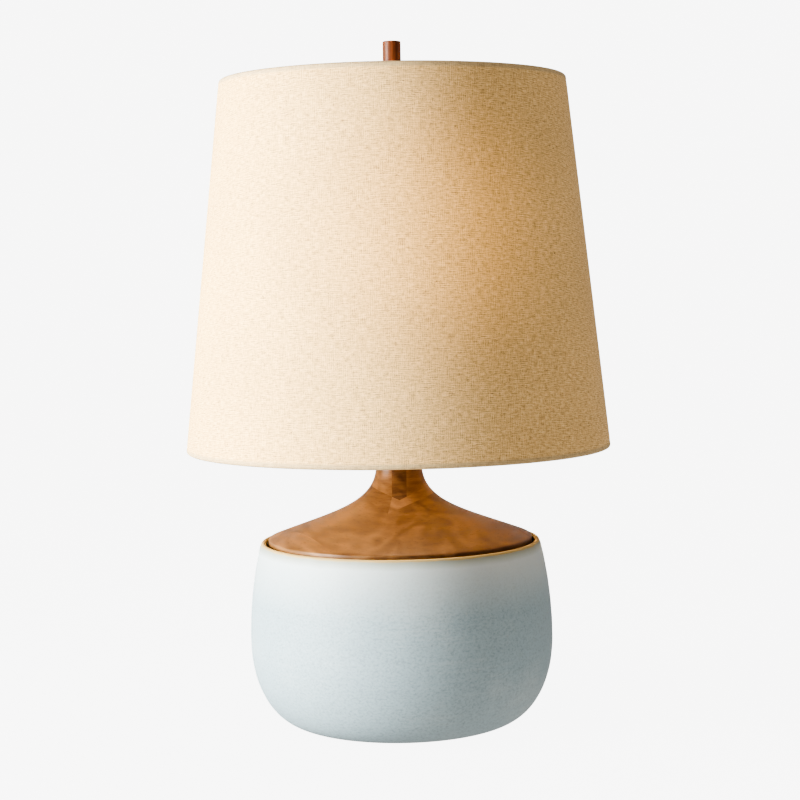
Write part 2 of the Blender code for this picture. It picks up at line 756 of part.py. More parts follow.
def bulb():
    origin = (0, 0, BULB_TIP_Z)
    glass = bulb_outline(0) + list(reversed(bulb_outline(GLASS)))
    turned("bulb_glass", "frosted_glass", glass, MEDIUM, origin)
    skin = 0.6 * MM
    cap_bottom = BULB_TIP_Z + 5.2 * MM
    cap_top = BULB_TIP_Z + 27 * MM
    cap = [
        (10.2 * MM, cap_bottom),
        (BULB_CAP_RADIUS, cap_bottom + 3 * MM),
        (BULB_CAP_RADIUS, cap_top),
        (BULB_CAP_RADIUS - skin, cap_top),
        (BULB_CAP_RADIUS - skin, cap_bottom + 3.4 * MM),
        (10.2 * MM, cap_bottom + 0.8 * MM),
    ]
    turned("bulb_screw_base", "nickel", cap, MEDIUM, origin)
    insulator = [
        (0, BULB_TIP_Z + 1.8 * MM),
        (6 * MM, BULB_TIP_Z + 1.8 * MM),
        (9.8 * MM, cap_bottom - GAP),
        (9.8 * MM, cap_bottom + 2 * MM),
        (0, cap_bottom + 2 * MM),
    ]
    turned("bulb_insulator", "black_glass", insulator, MEDIUM, origin)
    contact_top = BULB_TIP_Z + 1.5 * MM
    contact = [(0, BULB_TIP_Z), (3 * MM, BULB_TIP_Z), (4.6 * MM, contact_top), (0, contact_top)]
    turned("bulb_contact", "steel", contact, SMALL, origin)


# ---------------------------------------------------------------- shade and finial


def shade_radius(z):
    along = (z - SHADE_BOTTOM_Z) / (SHADE_TOP_Z - SHADE_BOTTOM_Z)
    return SHADE_BOTTOM_RADIUS + (SHADE_TOP_RADIUS - SHADE_BOTTOM_RADIUS) * along


def tapered_skin(name, finish_name, outside, thickness, short):
    """A conical skin, set in from the shade's surface by outside and from its ends by short."""
    low = SHADE_BOTTOM_Z + short
    high = SHADE_TOP_Z - short
    inside = outside + thickness
    outline = [
        (shade_radius(low) - outside, low),
        (shade_radius(high) - outside, high),
        (shade_radius(high) - inside, high),
        (shade_radius(low) - inside, low),
    ]
    turned(name, finish_name, outline, FINE, (0, 0, SHADE_TOP_Z))


def shade_skins():
    """The linen, and the styrene liner that it is stretched over."""
    tapered_skin("shade_fabric", "linen", 0, FABRIC, 0)
    tapered_skin("shade_liner", "styrene", FABRIC + GAP, LINER, FABRIC + GAP)


def ring_radius(z):
    return shade_radius(z) - FABRIC - LINER - 2 * GAP - RING_WIRE - 0.2 * MM


def shade_rings():
    heights = {
        "shade_top_ring": SHADE_TOP_Z - RING_DEPTH,
        "shade_bottom_ring": SHADE_BOTTOM_Z + RING_DEPTH,
    }
    for name, z in heights.items():
        wire = arc((ring_radius(z), z), RING_WIRE, 0, 300, 5)
        turned(name, "white_wire", wire, FINE, (0, 0, SHADE_TOP_Z))


def spider():
    """The hub that the finial clamps, and the arms that carry the shade from it."""
    outline = washer_outline(STUD_RADIUS + 0.4 * MM, HUB_RADIUS, HUB_Z, HUB_Z + HUB_THICKNESS)
    turned("spider_hub", "white_wire", outline, MEDIUM)
    arm_z = HUB_Z + ARM_RADIUS
    ring_z = SHADE_TOP_Z - RING_DEPTH
    end_z = ring_z - RING_WIRE - ARM_RADIUS - GAP
    start = HUB_RADIUS + GAP
    end = ring_radius(ring_z)
    bend = end - 30 * MM
    side = [(start, 0, arm_z)] + bezier(
        (bend, 0, arm_z), (bend + 12 * MM, 0, arm_z), (end - 14 * MM, 0, end_z), (end, 0, end_z), 6
    )
    for i in range(ARMS):
        mesh = tube_mesh(side, ARM_RADIUS, 1)
        mesh.transform(Matrix.Rotation(math.pi / 2 + 2 * math.pi * i / ARMS, 4, "Z"))
        add_object(f"spider_arm_{i + 1}", mesh, "white_wire", (0, 0, HUB_Z))


def finial():
    bottom = HUB_Z + HUB_THICKNESS + GAP
    bore = STUD_RADIUS + 2.3 * MM
    chamfer = 0.7 * MM
    rod = [
        (bore, bottom),
        (FINIAL_RADIUS - chamfer, bottom),
        (FINIAL_RADIUS, bottom + chamfer),
        (FINIAL_RADIUS, FINIAL_TOP_Z - chamfer),
        (FINIAL_RADIUS - chamfer, FINIAL_TOP_Z),
        (0, FINIAL_TOP_Z),
        (0, bottom + FINIAL_BORE_DEPTH),
        (bore, bottom + FINIAL_BORE_DEPTH),
    ]
    turned("finial_rod", "walnut", rod, MEDIUM, (0, 0, bottom))
    insert_top = bottom + FINIAL_BORE_DEPTH - 2 * MM
    insert = washer_outline(STUD_RADIUS + GAP, bore - GAP, bottom, insert_top)
    turned("finial_insert", "brass", insert, SMALL, (0, 0, bottom))


def build():
    clear_scene()
    felt_pad()
    ceramic_body()
    cord_grommet()
    bottom_clamp()
    threaded_pipe()
    wood_cap()
    neck_fittings()
    harp_saddle()
    harp_loop()
    harp_ferrules()
    harp_stud()
    socket_cap()
    socket_shell()
    socket_interior()
    terminal_screws()
    switch()
    bulb()
    shade_skins()
    shade_rings()
    spider()
    finial()


build()
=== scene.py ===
"""Looks of a table lamp: a stoneware bowl, a turned wooden cap, a linen shade, its harp and its bulb.

The lamp's lengths are written in millimetres and turned into metres by MM; the studio's are in metres.
Every piece is made in the frame's own coordinates, with the lamp's axis on Z, +Z up and -Y the front.
Materials read the same coordinates.
"""

import json
import math

import bmesh
import bpy
from mathutils import Matrix, Vector, noise


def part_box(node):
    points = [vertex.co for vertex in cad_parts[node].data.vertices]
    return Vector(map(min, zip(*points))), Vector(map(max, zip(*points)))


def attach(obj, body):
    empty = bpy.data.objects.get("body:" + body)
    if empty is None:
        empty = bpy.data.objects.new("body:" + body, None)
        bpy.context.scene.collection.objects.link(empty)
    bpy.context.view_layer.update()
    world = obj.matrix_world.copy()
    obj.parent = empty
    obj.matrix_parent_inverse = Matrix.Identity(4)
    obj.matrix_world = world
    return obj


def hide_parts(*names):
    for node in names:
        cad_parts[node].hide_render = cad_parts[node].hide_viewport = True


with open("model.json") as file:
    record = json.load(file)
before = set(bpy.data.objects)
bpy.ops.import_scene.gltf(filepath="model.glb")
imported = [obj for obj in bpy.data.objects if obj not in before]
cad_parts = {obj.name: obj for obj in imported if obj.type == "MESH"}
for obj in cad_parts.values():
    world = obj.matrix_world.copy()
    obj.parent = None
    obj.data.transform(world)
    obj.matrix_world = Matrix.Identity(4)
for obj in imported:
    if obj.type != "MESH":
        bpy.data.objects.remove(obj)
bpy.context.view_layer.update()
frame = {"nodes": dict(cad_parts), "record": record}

MM = 0.001
GAP = 0.3 * MM  # what the frame keeps between pieces that touch

# Bowl, as high and as wide as the frame's
BOWL_LOW, BOWL_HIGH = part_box("ceramic_body")
FOOT_Z = BOWL_LOW.z
RIM_Z = BOWL_HIGH.z
BELLY_RADIUS = BOWL_HIGH.x
BELLY_Z = 79 * MM
BELLY_SQUARENESS = 2.1
FOOT_RADIUS = 87 * MM
RIM_OUTER_RADIUS = 125.9 * MM
RIM_INNER_RADIUS = 121.3 * MM
WALL = 6.5 * MM
FLOOR_Z = 10.5 * MM
RECESS_RADIUS = 24 * MM
RECESS_Z = 12.4 * MM
PIPE_HOLE = 5.3 * MM
LEDGE_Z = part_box("wood_cap")[0].z - GAP
LEDGE_RADIUS = 112 * MM
LEDGE_THICKNESS = 6 * MM
THROWING_RIPPLE = 0.12 * MM

# Cable inlet
INLET_Z = 33 * MM
INLET_BORE = 3.4 * MM
INLET_BODY_RADIUS = 5 * MM
INLET_FLANGE_RADIUS = 7.5 * MM
INLET_FLANGE = 1.8 * MM

# Wooden cap
CAP_LOW, CAP_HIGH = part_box("wood_cap")
CAP_EDGE_TOP_Z = 169.3 * MM
CAP_SLOPE = 0.38
CAP_EDGE_HANDLE = 60.6 * MM
CAP_NECK_RADIUS = 20.6 * MM
CAP_NECK_Z = 235.5 * MM
CAP_NECK_HANDLE = 35.5 * MM
CAP_EDGE_ROUND = 0.8 * MM
CAP_TOP_ROUND = 2 * MM
CAP_HOLLOW_Z = 190 * MM
CAP_HOLLOW_RADIUS = 34 * MM
CAP_REBATE = 16 * MM
CAP_REBATE_DEPTH = 3 * MM

# How the blank of the cap is glued up
BLANK_LAYERS = (  # lowest height, width of strips, their turn in degrees, their shift, phase of shade
    (0, 190 * MM, -24, 0.5, 1.6),
    (196 * MM, 52 * MM, 12, 0.0, 0.0),
    (206 * MM, 13 * MM, 0, 0.5, math.pi),
)
BLANK_SLANT = -0.4  # negative: a layer starts higher the farther it is from the middle

# Shade
SHADE_LOW, SHADE_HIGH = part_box("shade_fabric")
SHADE_BOTTOM_RADIUS = SHADE_HIGH.x
SHADE_TOP_RADIUS = 154 * MM
SHADE_HEIGHT = SHADE_HIGH.z - SHADE_LOW.z
FABRIC = 0.9 * MM
THREAD_PITCH = 1.65 * MM
LINER_OUTSIDE = 1.3 * MM
LINER = 0.6 * MM
RING_WIRE = 1.6 * MM
RING_INSET = 4 * MM  # from the shade's surface to the middle of the ring's wire
RING_DEPTH = 2.9 * MM  # from the shade's edge to the middle of the ring's wire
HEM_DEPTH = 9 * MM  # how far the turned-in cloth reaches down the inside
HEM_GROOVE_DEPTH = 5 * MM
HEM_GROOVE = 0.22 * MM
ARMS = 3
ARM_RADIUS = 1.6 * MM
HUB_BORE = 3.5 * MM
NOTCH_HALF_WIDTH = 4.5 * MM
SEAM_WIDTH = 12 * MM
SEAM_THICKNESS = 0.5 * MM

# Harp, its ferrules and its stud
LEG_X = 35 * MM
LEG_FOOT_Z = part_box("harp_loop")[0].z
LEG_STRAIGHT_Z = 329 * MM
WIRE_RADIUS = 2 * MM
HARP_HALF_WIDTH = 57 * MM
HARP_WIDEST_Z = 400 * MM
LUG_Z = 559.5 * MM
LUG_THICKNESS = 2.2 * MM
LUG_HOLE = 2.7 * MM
EYE_LENGTH = 16 * MM
EYE_WIDTH = 12 * MM
FERRULE_BORE = 2.6 * MM
STUD_RADIUS = 3.1 * MM
STUD_PITCH = 0.94 * MM
STUD_THREAD = 0.5 * MM

# Socket, switch and bulb
SHELL_LOW, SHELL_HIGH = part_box("socket_shell")
SHELL_RADIUS = 17.6 * MM
SHEET = 0.8 * MM
KNOB_Z = 313 * MM
KNOB_RADIUS = 5.5 * MM
KNOB_RIBS = 12
KNOB_RIB_DEPTH = 0.7 * MM
BULB_RADIUS = 30 * MM
BULB_CENTRE_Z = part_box("bulb_glass")[1].z - BULB_RADIUS
GLASS = 1 * MM
BULB_TIP_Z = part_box("bulb_contact")[0].z
BULB_PITCH = 3.63 * MM
BULB_THREAD = 0.65 * MM

# Sides of circles
FINE = 256
SMOOTH = 128
SMALL = 64
SHARP_ANGLE = math.radians(38)

# Camera
CAMERA_DISTANCE = 1.6925
CAMERA_HEIGHT = 0.4109
CAMERA_OFFSET = 0.002
CAMERA_PITCH_DEG = 4.0
CAMERA_ROLL_DEG = 1.0
CAMERA_LENS = 84.7

# Lights
LIGHTS_LOOK_AT_Z = 0.4
GLOW_DISTANCE = 1.6
GLOW_ABOVE_BULB = 30 * MM

# Base colours, in linear light
LINEN_PALE = (0.89, 0.65, 0.33)
LINEN_MIDDLE = (0.71, 0.485, 0.228)
LINEN_DARK = (0.39, 0.26, 0.13)
LINEN_FLECK = (0.16, 0.11, 0.06)
# painted shade on the rolled hems
LINEN_HEM_SHADE = (0.36, 0.31, 0.22)
LINEN_SHINE_THROUGH = (0.42, 0.28, 0.12)
STYRENE_SHINE_THROUGH = (0.90, 0.87, 0.80)
GLAZE = (0.31, 0.385, 0.405)
# pale patches of the glaze, and the painted highlight under the rim
GLAZE_PALE_AND_HIGHLIGHT = (0.47, 0.51, 0.50)
GLAZE_DEEP = (0.29, 0.365, 0.388)
LIP_TAN = (0.40, 0.30, 0.14)
LIP_GREY = (0.27, 0.29, 0.24)
WOOD_PALE = (0.26, 0.138, 0.060)
WOOD_MIDDLE = (0.156, 0.080, 0.033)
WOOD_DARK = (0.07, 0.032, 0.014)
WALNUT_PALE = (0.24, 0.085, 0.035)
WALNUT_DARK = (0.085, 0.03, 0.014)

METALS = {  # pale, dark, roughness, drawn lines per metre
    "brass": ((0.78, 0.58, 0.28), (0.62, 0.43, 0.18), 0.26, 900),
    "steel": ((0.60, 0.60, 0.58), (0.42, 0.42, 0.41), 0.34, 700),
    "nickel": ((0.68, 0.66, 0.62), (0.54, 0.52, 0.48), 0.24, 900),
}
MOULDINGS = {  # pale, dark, roughness, height of the grain, coat
    "white_wire": ((0.82, 0.81, 0.78), (0.74, 0.73, 0.69), 0.40, 0.04 * MM, 0.2),
    "phenolic": ((0.035, 0.032, 0.03), (0.02, 0.018, 0.017), 0.32, 0.03 * MM, 0.3),
    "rubber": ((0.05, 0.05, 0.05), (0.025, 0.025, 0.025), 0.75, 0.08 * MM, 0.0),
    "fibre": ((0.48, 0.38, 0.26), (0.36, 0.27, 0.17), 0.85, 0.12 * MM, 0.0),
    "black_glass": ((0.03, 0.03, 0.03), (0.012, 0.012, 0.012), 0.12, 0.01 * MM, 0.0),
}


# ---------------------------------------------------------------- shapes


def arc(centre, radius, start_deg, end_deg, steps):
    """Points (r, z) along an arc, both ends included."""
    found = []
    for i in range(steps + 1):
        angle = math.radians(start_deg + (end_deg - start_deg) * i / steps)
        found.append((centre[0] + radius * math.cos(angle), centre[1] + radius * math.sin(angle)))
    return found


def ellipse(half_length, half_width, sides):
    """Points (x, y) all round an ellipse."""
    angles = [2 * math.pi * i / sides for i in range(sides)]
    return [(half_length * math.cos(angle), half_width * math.sin(angle)) for angle in angles]


def bezier(start, handle_a, handle_b, end, steps):
    """Points along a cubic Bezier curve, both ends included."""
    found = []
    for i in range(steps + 1):
        t = i / steps
        weights = ((1 - t) ** 3, 3 * t * (1 - t) ** 2, 3 * t * t * (1 - t), t**3)
        corners = (start, handle_a, handle_b, end)
        weighted = [[weight * value for value in point] for weight, point in zip(weights, corners)]
        found.append(tuple(sum(values) for values in zip(*weighted)))
    return found


def softened(outline, radius, steps=3):
    """A closed outline with each corner rounded, by no more than half of its shorter side."""
    found = []
    for i, corner in enumerate(outline):
        here = Vector(corner)
        before = Vector(outline[i - 1]) - here
        after = Vector(outline[(i + 1) % len(outline)]) - here
        if here.x < 1e-9 or before.length < 1e-9 or after.length < 1e-9:
            found.append(corner)
            continue
        start = here + before.normalized() * min(radius, before.length / 2)
        end = here + after.normalized() * min(radius, after.length / 2)
        for k in range(steps + 1):
            t = k / steps
            found.append(tuple(start * (1 - t) ** 2 + here * 2 * t * (1 - t) + end * t * t))
    return found


def washer_outline(inner, outer, bottom, top):
    """The outline (r, z) of a flat ring."""
    return [(inner, bottom), (outer, bottom), (outer, top), (inner, top)]


def thickened(path, thickness):
    """The closed outline of a sheet of this thickness, whose middle runs along an open path."""
    left, right = [], []
    for i, point in enumerate(path):
        before = Vector(path[max(i - 1, 0)])
        after = Vector(path[min(i + 1, len(path) - 1)])
        along = (after - before).normalized()
        across = Vector((-along.y, along.x)) * thickness / 2
        left.append(tuple(Vector(point) + across))
        right.append(tuple(Vector(point) - across))
    return left + right[::-1]


def turned_mesh(outline, sides, moved=None):
    """A closed outline of (radius, z) points, turned about Z. moved() can shift each point."""
    shape = bmesh.new()
    rings = []
    for i in range(sides):
        angle = 2 * math.pi * i / sides
        ring = []
        for radius, z in outline:
            if moved is not None:
                radius, z = moved(radius, z, angle)
            ring.append(shape.verts.new((radius * math.cos(angle), radius * math.sin(angle), z)))
        rings.append(ring)
    for i in range(sides):
        here, after = rings[i - 1], rings[i]
        for k in range(len(outline)):
            shape.faces.new((here[k - 1], after[k - 1], after[k], here[k]))
    bmesh.ops.remove_doubles(shape, verts=shape.verts, dist=1e-7)
    return mesh_of(shape)


def mesh_of(shape):
    """Turns a bmesh's normals outwards and makes a mesh of it."""
    bmesh.ops.recalc_face_normals(shape, faces=shape.faces)
    mesh = bpy.data.meshes.new("shape")
    shape.to_mesh(mesh)
    shape.free()
    return mesh


def threaded(crest, pitch, depth, bottom, top):
    """A shift for turned_mesh that rolls a rounded screw thread into a wall, inwards from its crest."""

    def moved(radius, z, angle):
        if radius < crest - 1 * MM or not bottom < z < top:
            return radius, z
        fade = min(1.0, (z - bottom) / pitch, (top - z) / pitch)
        return radius - depth * fade * (0.5 - 0.5 * math.cos(2 * math.pi * z / pitch - angle)), z

    return moved


def climbing(radius, bottom, top, step):
    """Points (r, z) up a straight wall, close enough together to carry a thread."""
    count = round((top - bottom) / step)
    return [(radius, bottom + (top - bottom) * i / count) for i in range(count + 1)]


def prism_mesh(outline, bottom, top, bevel=0.0):
    """A closed outline of (x, y) points, extruded up, with its edges bevelled."""
    shape = bmesh.new()
    face = shape.faces.new([shape.verts.new((x, y, bottom)) for x, y in outline])
    lifted = bmesh.ops.extrude_face_region(shape, geom=[face])["geom"]
    rising = [item for item in lifted if isinstance(item, bmesh.types.BMVert)]
    bmesh.ops.translate(shape, verts=rising, vec=(0, 0, top - bottom))
    if bevel:
        edges = shape.edges[:]
        bmesh.ops.bevel(shape, geom=edges, offset=bevel, segments=2, affect="EDGES", profile=0.5)
    return mesh_of(shape)


def tube_mesh(points, radius, resolution=6):
    """A round wire with closed ends, along a chain of points."""
    curve = bpy.data.curves.new("wire", "CURVE")
    curve.dimensions = "3D"
    curve.bevel_depth = radius
    curve.bevel_resolution = resolution
    curve.use_fill_caps = True
    line = curve.splines.new("POLY")
    line.points.add(len(points) - 1)
    for spot, point in zip(line.points, points):
        spot.co = (*point, 1)
    guide = bpy.data.objects.new("wire", curve)
    mesh = bpy.data.meshes.new_from_object(guide)
    bpy.data.objects.remove(guide)
    shape = bmesh.new()
    shape.from_mesh(mesh)
    bmesh.ops.remove_doubles(shape, verts=shape.verts, dist=1e-6)
    bpy.data.meshes.remove(mesh)
    return mesh_of(shape)


def joined(meshes):
    """Several meshes as one."""
    shape = bmesh.new()
    for mesh in meshes:
        shape.from_mesh(mesh)
        bpy.data.meshes.remove(mesh)
    return mesh_of(shape)


def facing(point, direction):
    """The matrix that puts a piece's own origin at point and its Z axis along direction."""
    turn = Vector(direction).to_track_quat("Z", "Y").to_matrix().to_4x4()
    return Matrix.Translation(point) @ turn


def piece(name, mesh, slot, body, *replaced):
    """Adds a piece of the lamp, in the finish of a material slot, that moves with a body."""
    mesh.materials.clear()
    mesh.materials.append(FINISHES[slot])
    mesh.shade_smooth()
    mesh.set_sharp_from_angle(angle=SHARP_ANGLE)
    made = bpy.data.objects.new(name, mesh)
    bpy.context.collection.objects.link(made)
    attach(made, body)
    if replaced:
        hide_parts(*replaced)
    return made


def drill(radius, bottom, top):
    """A round cutter, turned by half a side so that its corners stay off those of the piece it cuts."""
    mesh = turned_mesh(washer_outline(0, radius, bottom, top), SMALL)
    mesh.transform(Matrix.Rotation(math.pi / SMALL, 4, "Z"))
    return mesh


def cut(target, mesh):
    """Takes a shape out of a piece."""
    tool = bpy.data.objects.new(target.name + "_cutter", mesh)
    bpy.context.collection.objects.link(tool)
    step = target.modifiers.new("cut", "BOOLEAN")
    step.operation = "DIFFERENCE"
    step.solver = "EXACT"
    step.object = tool
    bpy.context.view_layer.update()
    seen = target.evaluated_get(bpy.context.evaluated_depsgraph_get())
    result = bpy.data.meshes.new_from_object(seen)
    target.modifiers.clear()
    target.data = result
    bpy.data.objects.remove(tool)


# ---------------------------------------------------------------- materials


class Paint:
    """A material under construction: its node tree, and short ways to add nodes to it."""

    def __init__(self, name):
        self.material = bpy.data.materials.new(f"{name}_finish")
        self.material.use_nodes = True
        self.tree = self.material.node_tree
        self.shader = self.tree.nodes["Principled BSDF"]
        self.output = self.tree.nodes["Material Output"]
        self.place = self.tree.nodes.new("ShaderNodeTexCoord").outputs["Object"]

    def add(self, kind, inputs, **settings):
        node = self.tree.nodes.new(kind)
        for key, value in settings.items():
            setattr(node, key, value)
        for key, value in inputs.items():
            self.feed(node.inputs[key], value)
        return node

    def feed(self, socket, value):
        """Links a socket to another node's output, or sets it to a number or a colour."""
        if isinstance(value, bpy.types.NodeSocket):
            self.tree.links.new(value, socket)
        elif socket.type == "RGBA":
            socket.default_value = (*value, 1)
        else:
            socket.default_value = value

    def set(self, **values):
        """Sets the shader's sockets; an underscore in a name stands for a space."""
        for key, value in values.items():
            self.feed(self.shader.inputs[key.replace("_", " ")], value)

    def math(self, operation, a, b=0.0, c=0.0, clamp=False):
        inputs = {0: a, 1: b, 2: c}
        return self.add("ShaderNodeMath", inputs, operation=operation, use_clamp=clamp).outputs[0]

    def blend(self, amount, a, b):
        return self.add("ShaderNodeMix", {0: amount, 2: a, 3: b}, data_type="FLOAT").outputs[0]

    def stretched(self, scale, place=None, turn=(0, 0, 0), shift=(0, 0, 0)):
        vector = self.place if place is None else place
        moves = {"Vector": vector, "Scale": scale, "Rotation": turn, "Location": shift}
        return self.add("ShaderNodeMapping", moves).outputs[0]

    def noise(self, place, scale, detail=2.0, roughness=0.5, distortion=0.0):
        inputs = {"Vector": place, "Scale": scale, "Detail": detail}
        inputs.update(Roughness=roughness, Distortion=distortion)
        return self.add("ShaderNodeTexNoise", inputs).outputs["Fac"]

    def ramp(self, amount, stops):
        """Colours or numbers along a ramp of (position, value) stops."""
        node = self.add("ShaderNodeValToRGB", {"Fac": amount})
        points = node.color_ramp.elements
        while len(points) < len(stops):
            points.new(0.5)
        for point, (position, value) in zip(points, stops):
            point.position = position
            point.color = (*value, 1) if isinstance(value, tuple) else (value, value, value, 1)
        return node.outputs["Color"]

    def mix(self, amount, a, b, blend="MIX"):
        node = self.add("ShaderNodeMix", {"Factor": amount}, data_type="RGBA", blend_type=blend)
        self.feed(node.inputs[6], a)
        self.feed(node.inputs[7], b)
        return node.outputs[2]

    def part(self, vector, axis):
        return self.add("ShaderNodeSeparateXYZ", {0: vector}).outputs[axis]

    def bump(self, height, distance, strength=1.0, below=None):
        inputs = {"Height": height, "Distance": distance, "Strength": strength}
        if below is not None:
            inputs["Normal"] = below
        return self.add("ShaderNodeBump", inputs).outputs[0]


def weave(paint, cloth):
    """Uneven threads both ways, with patches where one way or the other lies on top."""
    warp = paint.noise(paint.stretched((900, 170, 1), cloth), 1.0, 2, 0.6)
    weft = paint.noise(paint.stretched((155, 900, 1), cloth, (0, 0, 0), (0.7, 0.3, 0)), 1.0, 2, 0.6)
    knots = paint.noise(paint.stretched((1250, 1250, 1), cloth), 1.0, 1, 0.5)
    patches = paint.noise(paint.stretched((130, 90, 1), cloth), 1.0, 1, 0.5)
    upper = paint.ramp(patches, [(0.42, 0.0), (0.58, 1.0)])
    turns = 2 * math.pi / THREAD_PITCH
    upright = paint.math("SINE", paint.math("MULTIPLY", paint.part(cloth, 0), turns))
    level = paint.math("SINE", paint.math("MULTIPLY", paint.part(cloth, 1), turns))
    threads = paint.math("MULTIPLY_ADD", warp, 0.28, paint.math("MULTIPLY", weft, 0.44))
    threads = paint.math("MULTIPLY_ADD", knots, 0.28, threads)
    return paint.math("MULTIPLY_ADD", paint.blend(upper, upright, level), 0.04, threads)


def linen():
    """A plain weave with dark flecks, and painted shade that makes the rolled hems darker and greyer.
    """
    paint = Paint("linen")
    cloth = paint.add("ShaderNodeUVMap", {}, uv_map="cloth").outputs[0]
    threads = weave(paint, cloth)
    colour = paint.ramp(threads, [(0.36, LINEN_DARK), (0.49, LINEN_MIDDLE), (0.62, LINEN_PALE)])
    cloud = paint.ramp(paint.noise(paint.stretched((14, 14, 14)), 1.0, 3), [(0.3, 0.93), (0.7, 1.0)])
    colour = paint.mix(1.0, colour, cloud, "MULTIPLY")
    specks = paint.noise(paint.stretched((260, 520, 1), cloth), 1.0, 1)
    fleck = paint.ramp(specks, [(0.735, 0.0), (0.80, 0.75)])
    colour = paint.mix(fleck, colour, LINEN_FLECK)
    # painted shade: the rolled hems darker and greyer
    colour = paint.mix(hem_shade_share(paint), colour, LINEN_HEM_SHADE)
    paint.set(Base_Color=colour, Roughness=0.92, Specular_IOR_Level=0.12)
    paint.set(Sheen_Weight=0.08, Sheen_Roughness=0.5)
    paint.set(Normal=paint.bump(threads, 0.6 * MM, 0.7))
    let_light_through(paint, colour, 0.03, LINEN_SHINE_THROUGH)
    return paint.material


def hem_shade_share(paint):
    """Where shade is painted on the rolled hems: 1 there and 0 elsewhere, by the distance from the
    nearer end of the shade.
    """
    height = paint.part(paint.place, 2)
    from_bottom = paint.math("SUBTRACT", height, SHADE_LOW.z)
    from_top = paint.math("SUBTRACT", SHADE_HIGH.z, height)
    nearer = paint.math("MINIMUM", from_bottom, from_top)
    return paint.ramp(paint.math("DIVIDE", nearer, 10 * MM), [(0.34, 0.5), (0.52, 0.0)])


def let_light_through(paint, colour, share, tint):
    """Makes a share of a thin skin translucent, and lets lamp light pass through it with a tint."""
    surface = paint.shader.outputs[0]
    through = paint.add("ShaderNodeBsdfTranslucent", {"Color": colour}).outputs[0]
    skin = paint.add("ShaderNodeMixShader", {0: share, 1: surface, 2: through}).outputs[0]
    passing = paint.add("ShaderNodeBsdfTransparent", {"Color": tint}).outputs[0]
    ray = paint.add("ShaderNodeLightPath", {}).outputs["Is Shadow Ray"]
    both = paint.add("ShaderNodeMixShader", {0: ray, 1: skin, 2: passing}).outputs[0]
    paint.tree.links.new(both, paint.output.inputs["Surface"])


def styrene():
    """The liner: smooth pale sheet that glows with the lamp's light."""
    paint = Paint("styrene")
    mottle = paint.noise(paint.stretched((60, 60, 60)), 1.0, 3)
    colour = paint.ramp(mottle, [(0.3, (0.78, 0.75, 0.68)), (0.7, (0.84, 0.82, 0.76))])
    paint.set(Base_Color=colour, Roughness=0.45, Specular_IOR_Level=0.4)
    paint.set(Normal=paint.bump(paint.noise(paint.place, 900, 2), 0.05 * MM, 0.4))
    let_light_through(paint, colour, 0.35, STYRENE_SHINE_THROUGH)
    return paint.material


def stoneware():
    """A matt pale glaze with faint throwing lines, fine speckle and a painted highlight on its upper
    shoulder, that breaks to tan on the lip.
    """
    paint = Paint("stoneware")
    height = paint.part(paint.place, 2)
    bands = paint.noise(paint.stretched((5, 5, 500)), 1.0, 3, 0.6)
    clouds = paint.noise(paint.place, 12, 3)
    speckle = paint.noise(paint.stretched((420, 420, 560)), 1.0, 2, 0.7)
    tone = paint.math("MULTIPLY_ADD", bands, 0.25, paint.math("MULTIPLY", clouds, 0.75))
    colour = paint.ramp(tone, [(0.35, GLAZE_DEEP), (0.55, GLAZE), (1.0, GLAZE_PALE_AND_HIGHLIGHT)])
    grain = paint.ramp(speckle, [(0.28, 0.80), (0.5, 1.0), (0.75, 1.10)])
    colour = paint.mix(1.0, colour, grain, "MULTIPLY")
    # painted highlight: the glaze paler from just under the rim down to about 50 mm below it
    edge = paint.math("MULTIPLY_ADD", paint.noise(paint.place, 55, 2), 2 * MM, height)
    below_rim = paint.math("SUBTRACT", RIM_Z + MM, edge)
    pale = paint.ramp(paint.math("DIVIDE", below_rim, 60 * MM), [(0.05, 0.95), (0.85, 0.0)])
    colour = paint.mix(pale, colour, GLAZE_PALE_AND_HIGHLIGHT)
    grey = paint.ramp(paint.math("DIVIDE", below_rim, 10 * MM), [(0.30, 0.85), (0.90, 0.0)])
    colour = paint.mix(grey, colour, LIP_GREY)
    tan = paint.ramp(paint.math("DIVIDE", below_rim, 10 * MM), [(0.14, 1.0), (0.26, 0.0)])
    colour = paint.mix(tan, colour, LIP_TAN)
    paint.set(Base_Color=colour, Specular_IOR_Level=0.35)
    paint.set(Roughness=paint.ramp(speckle, [(0.3, 0.52), (0.7, 0.68)]))
    fine = paint.bump(speckle, 0.15 * MM, 0.6)
    paint.set(Normal=paint.bump(bands, 0.1 * MM, 0.3, fine))
    return paint.material


def blank_strips(paint):
    """The glued blank: each strip's own number, and how pale it is from 0 to 1."""
    number, shade = 0.0, 0.5
    for i, (lowest, width, turn_deg, shift, phase) in enumerate(BLANK_LAYERS):
        turned = paint.stretched((1, 1, 1), None, (0, 0, math.radians(turn_deg)))
        across = paint.part(turned, 0)
        strip = paint.math("FLOOR", paint.math("MULTIPLY_ADD", across, 1 / width, shift))
        wave = paint.math("COSINE", paint.math("MULTIPLY_ADD", strip, 2.2, phase))
        aside = paint.math("ABSOLUTE", across)
        height = paint.math("MULTIPLY_ADD", aside, BLANK_SLANT, paint.part(turned, 2))
        above = paint.math("GREATER_THAN", height, lowest)
        number = paint.blend(above, number, paint.math("ADD", strip, 20 * i))
        shade = paint.blend(above, shade, paint.math("MULTIPLY_ADD", wave, 0.5, 0.5))
    return number, shade


